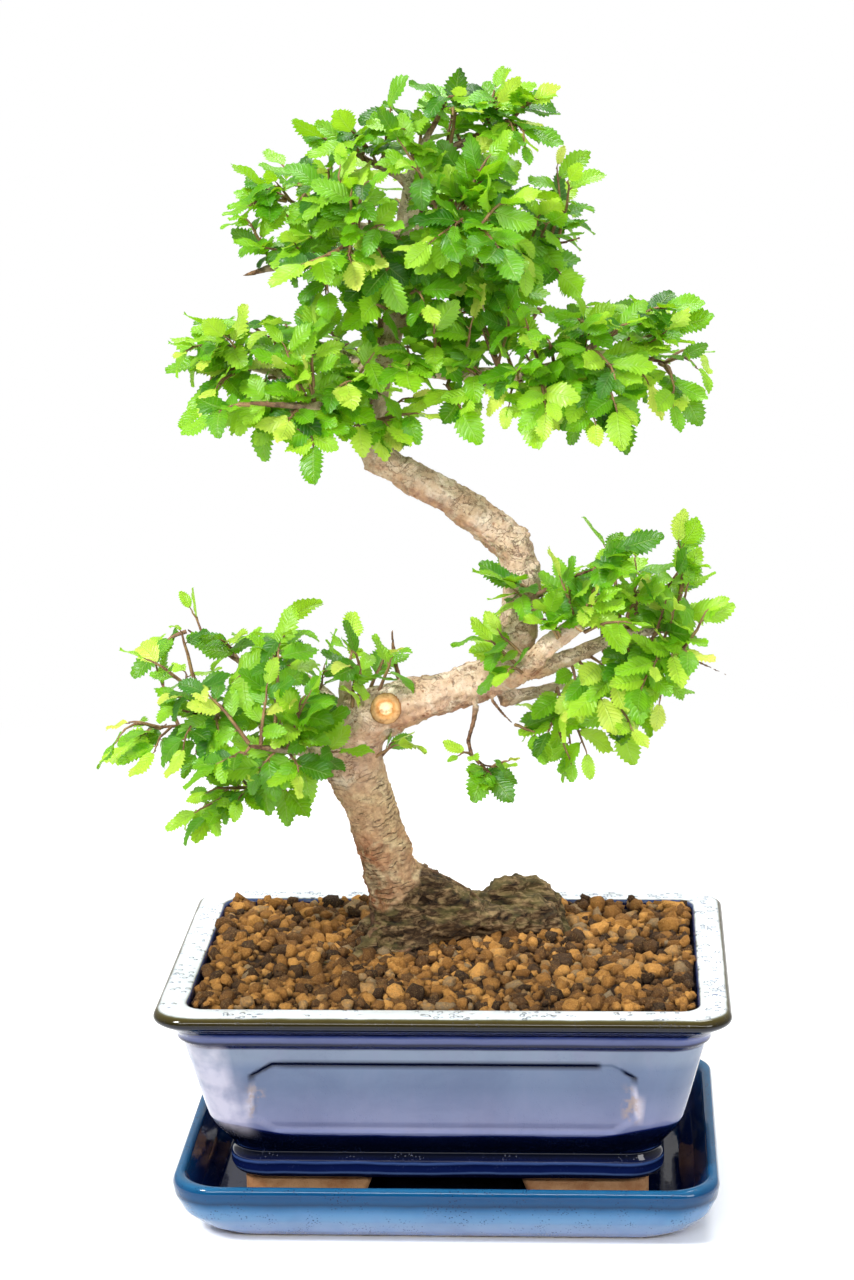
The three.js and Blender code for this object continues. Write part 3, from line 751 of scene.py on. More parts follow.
TRAY_GLAZE = GlazeFinish(
    name="tray_glaze_azure",
    heights=(
        (0, srgb(112, 84, 60)), (0.5, srgb(112, 86, 64)), (0.9, srgb(96, 110, 150)),
        (2.5, srgb(108, 124, 162)), (7.5, srgb(98, 126, 160)), (11, srgb(88, 126, 162)),
        (13.6, srgb(70, 116, 156)), (16.2, srgb(28, 84, 128)), (17.8, srgb(2, 46, 80)),
        (19.4, srgb(2, 60, 100)), (21.5, srgb(0, 54, 94)), (23, srgb(10, 72, 110)),
        (23.9, srgb(28, 92, 132)), (25, srgb(44, 104, 142)),
    ),
    inside=(
        (0, srgb(2, 8, 32)), (8, srgb(4, 12, 44)), (15, srgb(6, 26, 70)), (20, srgb(8, 54, 104)),
        (23.2, srgb(16, 76, 118)), (25, srgb(44, 104, 142)),
    ),
    pooled_and_shaded=srgb(12, 36, 86),
    tint=srgb(86, 116, 156),
    speckle=srgb(2, 26, 60),
    painted_highlight=srgb(150, 176, 204),
    speckle_share=0.85,
    drift=0.9,
)

FOOT_CLAY = ClayFinish("bare_foot_clay", srgb(176, 134, 92), srgb(142, 94, 56))

SOIL_GRANULES = GranuleFinish(
    name="baked_clay_granules",
    tones=(
        (0.0, srgb(34, 22, 12)), (0.14, srgb(62, 42, 24)), (0.34, srgb(110, 74, 36)),
        (0.56, srgb(142, 97, 44)), (0.78, srgb(198, 143, 72)), (0.92, srgb(140, 112, 76)),
        (1.0, srgb(128, 110, 84)),
    ),
)

ELM_BARK = BarkFinish(
    name="elm_bark",
    pale=srgb(232, 215, 193),
    warm=srgb(204, 182, 152),
    grey=srgb(150, 132, 112),
    crack=srgb(84, 64, 48),
    flake=srgb(150, 88, 54),
    root=srgb(64, 46, 28),
    root_light=srgb(160, 132, 94),
    moss=srgb(112, 106, 58),
)

SHOOT_BARK = TwigFinish("young_shoot_bark", srgb(112, 80, 54), srgb(142, 112, 70))

ELM_LEAF = LeafFinish(
    name="elm_leaf",
    tones=(
        (0.0, srgb(14, 62, 4)), (0.28, srgb(50, 118, 8)), (0.46, srgb(102, 170, 20)),
        (0.7, srgb(158, 208, 46)), (0.9, srgb(200, 218, 84)), (1.0, srgb(230, 212, 110)),
    ),
    vein=srgb(190, 222, 120),
    glow=(
        (0.0, srgb(104, 172, 4)), (0.5, srgb(164, 216, 20)), (0.8, srgb(204, 234, 78)),
        (1.0, srgb(240, 226, 130)),
    ),
)

SOIL_BELOW = GranuleFinish("soil_underneath", ((0.0, srgb(46, 30, 20)), (1.0, srgb(104, 68, 42))))

DRAIN_PLASTIC = MeshPlasticFinish("drain_mesh_plastic", srgb(28, 30, 28))


# ---------------------------------------------------------------- pot and tray


@dataclass
class RectangularTurning:
    """A profile turned round a rectangle with rounded corners, in millimetres.

    Each station of the profile is a half-length, a height and a corner radius. The outline's
    half-depth is the half-length less the side difference.
    """

    profile: Sequence[Point]
    inner_from: int
    side_difference: float = 27.5
    long_steps: int = 62
    short_steps: int = 39
    corner_steps: int = 12
    held_long: float = 71.6
    held_short: float = 44.1
    row_step: float = 1.15
    flat_step: float = 14.0
    steep_from: float = 0.35
    rounding: float = 0.7
    square_from: float = 60.0
    held_share: float = 0.97

    def half_depth(self, half_length: float) -> float:
        """The outline's half-depth for a half-length."""
        if half_length >= self.square_from:
            return half_length - self.side_difference
        return half_length * (self.square_from - self.side_difference) / self.square_from

    def turns(self) -> int:
        """How many columns a quarter of the turning has."""
        return self.long_steps + self.short_steps + self.corner_steps

    def along_side(self, step: int, steps: int, reach: float, held: float) -> float:
        """Where a column stands along half a straight side.

        Args:
            step: The column's number from the side's middle.
            steps: How many half the side has.
            reach: Half the straight side's length.
            held: Half the stretch whose columns stand upright, where the side is long enough.

        Returns:
            Its place from the side's middle.
        """
        share, edge = step / steps, self.held_share
        if reach <= held:
            return share * reach
        if share <= edge:
            return share / edge * held
        return held + (share - edge) / (1 - edge) * (reach - held)

    def outline(self, turn: int, half_length: float, corner: float) -> tuple[float, float]:
        """The place of a column on the first quarter of the outline.

        Args:
            turn: The column's number, from the middle of the right end to the middle of the back.
            half_length: The outline's half-length.
            corner: The radius of its corners.

        Returns:
            x and y.
        """
        half_depth = self.half_depth(half_length)
        radius = min(corner, half_length * 0.5, half_depth * 0.5)
        reach_x, reach_y = half_length - radius, half_depth - radius
        if turn < self.short_steps:
            return half_length, self.along_side(turn, self.short_steps, reach_y, self.held_short)
        turn -= self.short_steps
        if turn < self.corner_steps:
            angle = math.radians(90 * turn / self.corner_steps)
            return reach_x + radius * math.cos(angle), reach_y + radius * math.sin(angle)
        turn -= self.corner_steps
        return self.along_side(self.long_steps - turn, self.long_steps, reach_x, self.held_long), half_depth

    def section(self, bm: bmesh.types.BMesh) -> None:
        """Draws the profile as a row of edges, with its corners rounded and its long edges divided.

        Args:
            bm: The bmesh it goes in, with layers corner and inside on its points.
        """
        corner, inside = bm.verts.layers.float["corner"], bm.verts.layers.float["inside"]
        points = []
        for number, (half_length, height, radius) in enumerate(self.profile):
            point = bm.verts.new((half_length, 0, height))
            point[corner] = radius
            point[inside] = 1.0 if number >= self.inner_from else 0.0
            points.append(point)
        for first, second in zip(points, points[1:]):
            bm.edges.new((first, second))
        bmesh.ops.bevel(bm, geom=points[1:-1], offset=self.rounding, offset_type="OFFSET", segments=2,
                        profile=0.5, affect="VERTICES", clamp_overlap=True, material=-1)
        for edge in list(bm.edges):
            first, second = (v.co for v in edge.verts)
            length = (first - second).length
            steep = abs(first.z - second.z) > self.steep_from * length
            cuts = int(length / (self.row_step if steep else self.flat_step))
            if cuts:
                bmesh.ops.subdivide_edges(bm, edges=[edge], cuts=cuts)

    def build(self) -> bmesh.types.BMesh:
        """Turns the profile.

        Returns:
            A closed bmesh in millimetres, with its point layers filled or ready.
        """
        bm = bmesh.new()
        for name in ("corner", "inside", "pool_and_shade", "thin", "creep", "bronze"):
            bm.verts.layers.float.new(name)
        self.section(bm)
        count = self.turns()
        bmesh.ops.spin(bm, geom=bm.verts[:] + bm.edges[:], cent=(0, 0, 0), axis=(0, 0, 1),
                       angle=math.pi / 2, steps=count, use_merge=False, use_duplicate=False)
        corner = bm.verts.layers.float["corner"]
        for point in bm.verts:
            half_length = math.hypot(point.co.x, point.co.y)
            if half_length < 0.01:
                point.co.x = point.co.y = 0
                continue
            turn = round(math.atan2(point.co.y, point.co.x) / (math.pi / 2) * count)
            point.co.x, point.co.y = self.outline(turn, half_length, point[corner])
        for axis in ("X", "Y"):
            bmesh.ops.mirror(bm, geom=bm.verts[:] + bm.edges[:] + bm.faces[:], matrix=Matrix.Identity(4),
                             merge_dist=0.001, axis=axis)
        bmesh.ops.remove_doubles(bm, verts=bm.verts, dist=0.001)
        bmesh.ops.recalc_face_normals(bm, faces=bm.faces)
        return bm


@dataclass
class DripTray:
    """The glazed dish under the pot."""

    corner: float = 17.0
    inner_from: int = 9
    profile: tuple[tuple[float, float], ...] = (
        (0, 0), (86, 0), (88, 1), (92.5, 4.2), (97.5, 10), (100.4, 17), (101, 21.5), (100.2, 23.6),
        (98.6, 24), (96.8, 23.2), (95.8, 20.5), (92.5, 12.5), (87, 7.6), (84, 7), (0, 7),
    )

    def build(self) -> bpy.types.Object:
        """Turns the dish, with a glaze line above its foot, and makes it a piece.

        Returns:
            The piece.
        """
        turning = RectangularTurning([(r, z, self.corner) for r, z in self.profile], self.inner_from,
                                     long_steps=36, short_steps=24, corner_steps=14, row_step=1.0)
        bm = turning.build()
        bmesh.ops.scale(bm, vec=(MM, MM, MM), verts=bm.verts)
        mesh = mesh_of(bm, "drip_tray_glazed")
        return finished_piece("drip_tray_glazed", mesh, ["drip_tray"], [TRAY_GLAZE.material()])


@dataclass
class Pot:
    """The glazed pot with a sunk panel on each wall, a base band and bare clay feet."""

    corner: float = 13.0
    inner_corner: float = 8.0
    inner_from: int = 20
    side_difference: float = 27.5
    profile: tuple[tuple[float, float], ...] = (
        (0, 19), (76.5, 19), (79.6, 20.4), (80.8, 23.5), (80.8, 27.5), (79.6, 30.6), (81, 33), (86, 40.5),
        (87.8, 44.6), (90.2, 54), (93, 65.5), (95.8, 77), (97.4, 78), (97.8, 80.6), (100, 83.8),
        (103.3, 85.7), (104.7, 87.1), (105, 88.4), (104.2, 90.1), (102.7, 91), (94, 91), (92.9, 90.2),
        (92, 86), (89.6, 77), (82, 45), (76, 30), (72, 24), (0, 24),
    )
    # Share of the painted highlight on the left upright corner; the right corner gets none.
    left_highlight_share: float = 0.66
    panel_half: float = 70.0
    panel_top: float = 70.0
    panel_bottom: float = 41.0
    panel_notch: float = 8.0
    panel_drop: float = 5.0
    panel_depth: float = 1.2
    panel_edge: float = 1.8
    drain_place: float = 40.0
    drain_radius: float = 8.0
    foot_length: float = 43.0
    foot_width: float = 20.0
    foot_outer: float = 75.0
    foot_bottom: float = 7.3
    foot_top: float = 19.4
    foot_slope: float = 5.0

    def panel_reach(self, place: float, height: float, half: float) -> float:
        """How far a point of a wall is inside its panel's outline; negative outside.

        Args:
            place: Its place from the wall's middle.
            height: Its height.
            half: Half the panel's length.

        Returns:
            The distance, in millimetres.
        """
        across = abs(place)
        low, high = self.panel_bottom, self.panel_top
        top_lean = Vector((self.panel_drop, self.panel_notch)).normalized()
        low_lean = Vector((self.panel_drop + 2, self.panel_notch)).normalized()
        top_corner = (half - across) * top_lean.x + (high - self.panel_drop - height) * top_lean.y
        low_corner = (half - across) * low_lean.x + (height - low - self.panel_drop - 2) * low_lean.y
        return min(half - across, high - height, height - low, top_corner, low_corner)

    def sink_panels(self, bm: bmesh.types.BMesh) -> None:
        """Sinks the panels into the four walls and marks the dark line along their top edges, where glaze
        pools and shade is partly painted, and the painted highlights at their ends.

        Args:
            bm: The turned pot, in millimetres.
        """
        layers = bm.verts.layers.float
        inside, pool_and_shade, thin, creep, bronze = (layers[n] for n in ("inside", "pool_and_shade", "thin", "creep", "bronze"))
        for point in bm.verts:
            height = point.co.z
            if point[inside] < 0.5 and 31 < height < 82:
                self.mark_corner(point, thin, creep)
            if point[inside] > 0.5 or not self.panel_bottom - 4 < height < self.panel_top + 3:
                continue
            x, y = point.co.x, point.co.y
            reach_x = self.panel_half + 1.5
            on_long = abs(x) < reach_x + 1 and abs(y) > self.panel_half - self.side_difference + 8
            half = self.panel_half if on_long else self.panel_half - self.side_difference
            place = x if on_long else y
            reach = self.panel_reach(place, height, half)
            sunk = self.panel_depth * smoothstep(-0.5 * self.panel_edge, 0.5 * self.panel_edge, reach)
            if on_long:
                point.co.y -= math.copysign(sunk, y)
            else:
                point.co.x -= math.copysign(sunk, x)
            taper = 1 - smoothstep(half - 15, half - 0.5, abs(place))
            width = 0.7 + 0.6 * taper
            # A dark line along the panel's top edge: pooled glaze and partly painted shade under its upper
            # lip.
            line = smoothstep(width + 0.75, width - 0.35, abs(reach - 0.3)) * smoothstep(61, 65, height)
            gap = smoothstep(3.0, 5.0, abs(place - half + 8.5)) if place > 0 else 1.0
            point[pool_and_shade] = line * gap
            beside = abs(place) - half
            within = smoothstep(44, 49, height) * smoothstep(63, 57, height)
            point[bronze] = within * smoothstep(4.2, 1.6, abs(beside + 1.5))
            # Painted highlight at the panel ends, kept in the thin layer.
            sheen = within * smoothstep(1.6, 0.5, abs(beside - 0.6 + 0.12 * (height - 54)))
            point[thin] = max(point[thin], 0.9 * sheen)

    def mark_corner(self, point: bmesh.types.BMVert, thin: object, creep: object) -> None:
        """Marks how near the wall's upright corner a point is, for a painted highlight on the left corner and
        for the climbing dark foot.

        Args:
            point: The point.
            thin: The layer for the painted highlight.
            creep: The layer for the climbing foot.
        """
        half_length = 86 + 0.27 * (point.co.z - 40.5)
        half_depth = half_length - self.side_difference
        x, y = abs(point.co.x), abs(point.co.y)
        sides = ((half_length, x), (half_depth, y))
        near = min(smoothstep(half - 19, half - 12, place) for half, place in sides)
        wide = min(smoothstep(half - 30, half - 5, place) for half, place in sides)
        # Painted highlight on the left upright corner only, standing in for a lamp's reflection; the right
        # gets none.
        share = self.left_highlight_share if point.co.x < 0 else 0.0
        point[thin] = share * near * smoothstep(36, 46, point.co.z) * smoothstep(79, 76, point.co.z)
        point[creep] = wide

    def drained(self, mesh: bpy.types.Mesh) -> bpy.types.Mesh:
        """Cuts the two drain holes through the floor.

        Args:
            mesh: The pot, in metres.

        Returns:
            The cut mesh.
        """
        cutter = bmesh.new()
        for side in (-1, 1):
            place = Matrix.Translation((side * self.drain_place * MM, 0, 21 * MM))
            bmesh.ops.create_cone(cutter, cap_ends=True, segments=32, radius1=self.drain_radius * MM,
                                  radius2=self.drain_radius * MM, depth=20 * MM, matrix=place)
        tool = placed("drain_cutter", mesh_of(cutter, "drain_cutter"))
        body = placed("pot_to_cut", mesh)
        cut = body.modifiers.new("drain", "BOOLEAN")
        cut.operation, cut.solver, cut.object = "DIFFERENCE", "EXACT", tool
        done, blank = evaluated_mesh(body), tool.data
        bpy.data.objects.remove(tool)
        bpy.data.meshes.remove(blank)
        return done

    def feet(self) -> bpy.types.Mesh:
        """Makes the four clay feet, wider where they meet the pot.

        Returns:
            Their mesh, in metres.
        """
        bm = bmesh.new()
        height = self.foot_top - self.foot_bottom
        centre_y = self.foot_outer - self.side_difference - self.foot_width / 2
        for side_x in (-1, 1):
            for side_y in (-1, 1):
                centre = Vector((side_x * (self.foot_outer - self.foot_length / 2), side_y * centre_y,
                                 self.foot_bottom + height / 2))
                made = bmesh.ops.create_cube(bm, size=1.0)["verts"]
                bmesh.ops.scale(bm, vec=(self.foot_length, self.foot_width, height), verts=made)
                for point in made:
                    inner = point.co.x * side_x < 0
                    if inner:
                        point.co.x -= side_x * (self.foot_slope if point.co.z > 0 else 0)
                bmesh.ops.translate(bm, vec=centre, verts=made)
                edges = {e for v in made for e in v.link_edges}
                upright = [e for e in edges if abs(e.verts[0].co.z - e.verts[1].co.z) > 1]
                bmesh.ops.bevel(bm, geom=upright, offset=2.6, segments=5, profile=0.5, affect="EDGES",
                                clamp_overlap=True, material=-1)
        low = [e for e in bm.edges if all(v.co.z < self.foot_bottom + 0.01 for v in e.verts)
               and len(e.link_faces) == 2]
        bmesh.ops.bevel(bm, geom=low, offset=0.8, segments=3, profile=0.5, affect="EDGES",
                        clamp_overlap=True, material=-1)
        bmesh.ops.recalc_face_normals(bm, faces=bm.faces)
        bmesh.ops.scale(bm, vec=(MM, MM, MM), verts=bm.verts)
        return mesh_of(bm, "pot_feet", smooth=False)

    def build(self) -> list[bpy.types.Object]:
        """Makes the pot and its feet.

        Returns:
            The two pieces.
        """
        inner = range(self.inner_from, len(self.profile) - 1)
        stations = [(r, z, self.inner_corner if n in inner else self.corner)
                    for n, (r, z) in enumerate(self.profile)]
        turning = RectangularTurning(stations, self.inner_from + 1)
        bm = turning.build()
        self.sink_panels(bm)
        bmesh.ops.scale(bm, vec=(MM, MM, MM), verts=bm.verts)
        body = self.drained(mesh_of(bm, "pot_body"))
        pot = finished_piece("pot_body", body, ["pot"], [POT_GLAZE.material()])
        feet = finished_piece("pot_feet", self.feet(), ["pot"], [FOOT_CLAY.material()])
        return [pot, feet]


# ---------------------------------------------------------------- wood


@dataclass(frozen=True)
class BarkSpot:
    """A point of the wood and where it lies on the tree, in millimetres."""

    point: Vector
    normal: Vector
    thickness: float
    run: float
    away: float
    low: float

    @property
    def bulk(self) -> float:
        """From 0 on a twig to 1 on thick wood."""
        return smoothstep(1.5, 10.0, self.thickness)

    @property
    def on_trunk(self) -> float:
        """From 0 off the trunk to 1 on it."""
        return smoothstep(16.0, 11.0, self.away)

    @property
    def band(self) -> float:
        """How strongly the trunk is ringed, most on its lowest stretch."""
        above_soil = smoothstep(0.0, 14.0, self.run)
        return self.on_trunk * above_soil * (0.12 + 0.88 * smoothstep(92.0, 62.0, self.run))

    @property
    def rust(self) -> float:
        """How much the bark is stained: its lowest stretch, most to the left, and undersides."""
        red = smoothstep(64.0, 42.0, self.run) * smoothstep(-4.0, 10.0, self.run) * self.on_trunk
        left = smoothstep(0.5, -0.5, self.normal.x)
        below = smoothstep(0.1, -0.7, self.normal.z)
        return self.bulk * max(red * (0.5 + 0.5 * left), 0.3 + 0.4 * below)


@dataclass
class Trunk:
    """The grown wood: roots, trunk and limbs, with bark worked into its surface."""

    voxel: float = 0.78
    smoothings: int = 3
    wrinkle_gap: float = 3.1
    scar: Point = (-22.0, -11.4, 189.2)
    scar_radius: float = 5.6
    cut_end: Point = (50.5, -18.0, 223.0)
    cut_axis: Point = (0.77, -0.31, 0.56)
    cut_radius: float = 4.4
    root_level: float = 104.0
    lower_bends: tuple[Point, ...] = (
        (-17.5, 14.5, 90), (-20.5, 13, 105), (-22.6, 12, 116), (-26.2, 9, 133), (-31.4, 6, 151),
        (-36, 3, 168), (-31.5, 0, 181), (-13.5, -3, 190), (12.8, -4, 197.6), (24, -2, 207.5), (28, 1, 224),
        (28.2, 4, 238), (26, 6, 246.5), (18.6, 7, 253), (7.6, 6, 261.5), (-5, 4, 270), (-18, 2, 277.4),
        (-26, 0, 284.5),
    )
    middle_line: list[tuple[Vector, Vector, float, float, float]] = field(default_factory=list, repr=False)

    def stretches(self) -> list[tuple[Vector, Vector, float, float, float]]:
        """The trunk's middle line: each stretch's start, step, squared length, length and run so far."""
        if not self.middle_line:
            at = 0.0
            for first, second in zip(self.lower_bends, self.lower_bends[1:]):
                step = Vector(second) - Vector(first)
                self.middle_line.append((Vector(first), step, step.length_squared, step.length, at))
                at += step.length
        return self.middle_line

    def run_of(self, point: Vector) -> tuple[float, float]:
        """How far along the thick trunk a point is.

        Args:
            point: The point, in millimetres.

        Returns:
            The length along the trunk to the nearest place, and the distance from its middle line.
        """
        best, run = 1e9, 0.0
        for start, step, squared, length, at in self.stretches():
            share = min(max((point - start).dot(step) / squared, 0.0), 1.0)
            away = (point - start - step * share).length
            if away < best:
                best, run = away, at + share * length
        return run, best

    def solid(self) -> bpy.types.Mesh:
        """The CAD wood with its joints between limbs grown together.

        Returns:
            An even mesh, in metres.
        """
        bm = merged_copy("trunk")
        grown = placed("wood_to_grow", mesh_of(bm, "wood_to_grow"))
        remesh = grown.modifiers.new("even", "REMESH")
        remesh.mode, remesh.voxel_size, remesh.adaptivity = "VOXEL", self.voxel * MM, 0.0
        return evaluated_mesh(grown)

    def spot(self, vertex: bmesh.types.BMVert, tree: BVHTree) -> BarkSpot:
        """Finds where a point of the wood lies on the tree.

        Args:
            vertex: The point.
            tree: The wood's surface.

        Returns:
            The spot.
        """
        point, normal = vertex.co / MM, vertex.normal.copy()
        far = tree.ray_cast(vertex.co - normal * 0.05 * MM, -normal, 0.04)[3]
        run, away = self.run_of(point)
        foot = point.z - self.root_level - 8 * smoothstep(-24.0, -12.0, point.x)
        low = max(smoothstep(9, -3, foot), smoothstep(8.5, 13.5, away) * smoothstep(128, 116, point.z))
        return BarkSpot(point, normal, far / MM if far is not None else 2.0, run, away, low)

    def relief(self, spot: BarkSpot) -> tuple[float, float]:
        """Lumps, flakes, ring wrinkles and root ridges.

        Args:
            spot: Where on the wood.

        Returns:
            How far the bark stands out, in millimetres, and how deep in a wrinkle it is, from 0 to 1.
        """
        point = spot.point
        lumps = noise.noise(point / 8.0) * 0.95 + noise.noise(point / 3.6 + Vector((7, 1, 3))) * 0.55
        fine = noise.noise(point / 1.5) * 0.3
        waver = 1.3 * noise.noise(point / 6.0) + 0.6 * noise.noise(point / 2.4)
        ring = 0.5 + 0.5 * math.sin((spot.run + waver * 1.1) * 2 * math.pi / self.wrinkle_gap)
        patch = smoothstep(-0.25, 0.3, noise.noise(point / 7.0 + Vector((0, 9, 0))))
        groove = smoothstep(0.78, 1.0, ring) * spot.band * patch
        upright = Vector((point.x / 7, point.y / 7, point.z / 4)) + Vector((3, 3, 3))
        ridge = 1 - abs(noise.noise(upright)) * 2
        flake = Vector((point.x / 3.1, point.y / 3.1, point.z / 2.3)) + Vector((waver, 0, waver)) * 0.3
        lift = spot.bulk * (lumps + fine + 0.42 * (noise.cell(flake) - 0.5) - 0.5 * groove)
        return lift + spot.low * spot.bulk * 1.5 * (ridge - 0.55), groove

    def cuts(self, point: Vector, lift: float) -> tuple[float, float]:
        """Works the pruning scar and the cut end of the limb into the relief.

        Args:
            point: The point, in millimetres.
            lift: How far the bark would stand out there.

        Returns:
            How far the wood stands out, and how bare it is, from 0 to 1.
        """
        cut = 0.0
        away = (point - Vector(self.scar)).length
        if away < self.scar_radius + 3:
            share = away / self.scar_radius
            cut = smoothstep(1.08, 0.9, share) * (1 - 0.62 * smoothstep(0.0, 0.9, share))
            lift *= smoothstep(0.6, 1.4, share)
            lift += 0.9 * math.exp(-((share - 0.82) / 0.24) ** 2) - 0.5 * smoothstep(0.55, 0.3, share)
            lift += 0.12 * math.sin(away * 5.5)
        to_end = point - Vector(self.cut_end)
        past = to_end.dot(Vector(self.cut_axis).normalized())
        if to_end.length < self.cut_radius + 1.6 and past > -1.2:
            bare = smoothstep(-1.3, -0.5, past)
            cut = max(cut, bare * 0.86)
            lift *= 1 - bare
        return lift, cut

    def carve(self, bm: bmesh.types.BMesh) -> None:
        """Works the bark's relief and the cuts into the surface and stores what its finish goes by.

        Args:
            bm: The even wood, in metres.
        """
        names = ("wrinkle", "low", "moss", "rust", "cut", "twig", "run", "ringed")
        layers = {name: bm.verts.layers.float.new(name) for name in names}
        bm.normal_update()
        tree = BVHTree.FromBMesh(bm)
        lifts = []
        for vertex in bm.verts:
            spot = self.spot(vertex, tree)
            lift, groove = self.relief(spot)
            lift, cut = self.cuts(spot.point, lift)
            lifts.append(lift)
            marks = {
                "wrinkle": groove * (1 - smoothstep(0.0, 0.1, cut)),
                "low": spot.low,
                "moss": 0.75 * smoothstep(self.root_level + 20, self.root_level + 2, spot.point.z),
                "rust": spot.rust,
                "cut": cut,
                "twig": smoothstep(3.4, 1.7, spot.thickness),
                "run": spot.run,
                "ringed": spot.band,
            }
            for name, value in marks.items():
                vertex[layers[name]] = value
        for vertex, lift in zip(bm.verts, lifts):
            vertex.co += vertex.normal * lift * MM

    def build(self) -> bpy.types.Object:
        """Makes the wood.

        Returns:
            The piece.
        """
        bm = bmesh.new()
        bm.from_mesh(self.solid())
        for _ in range(self.smoothings):
            bmesh.ops.smooth_vert(bm, verts=bm.verts, factor=0.5, use_axis_x=True, use_axis_y=True,
                                  use_axis_z=True)
        self.carve(bm)
        mesh = mesh_of(bm, "wood")
        return finished_piece("wood", mesh, ["trunk"], [ELM_BARK.material()])


# ---------------------------------------------------------------- soil


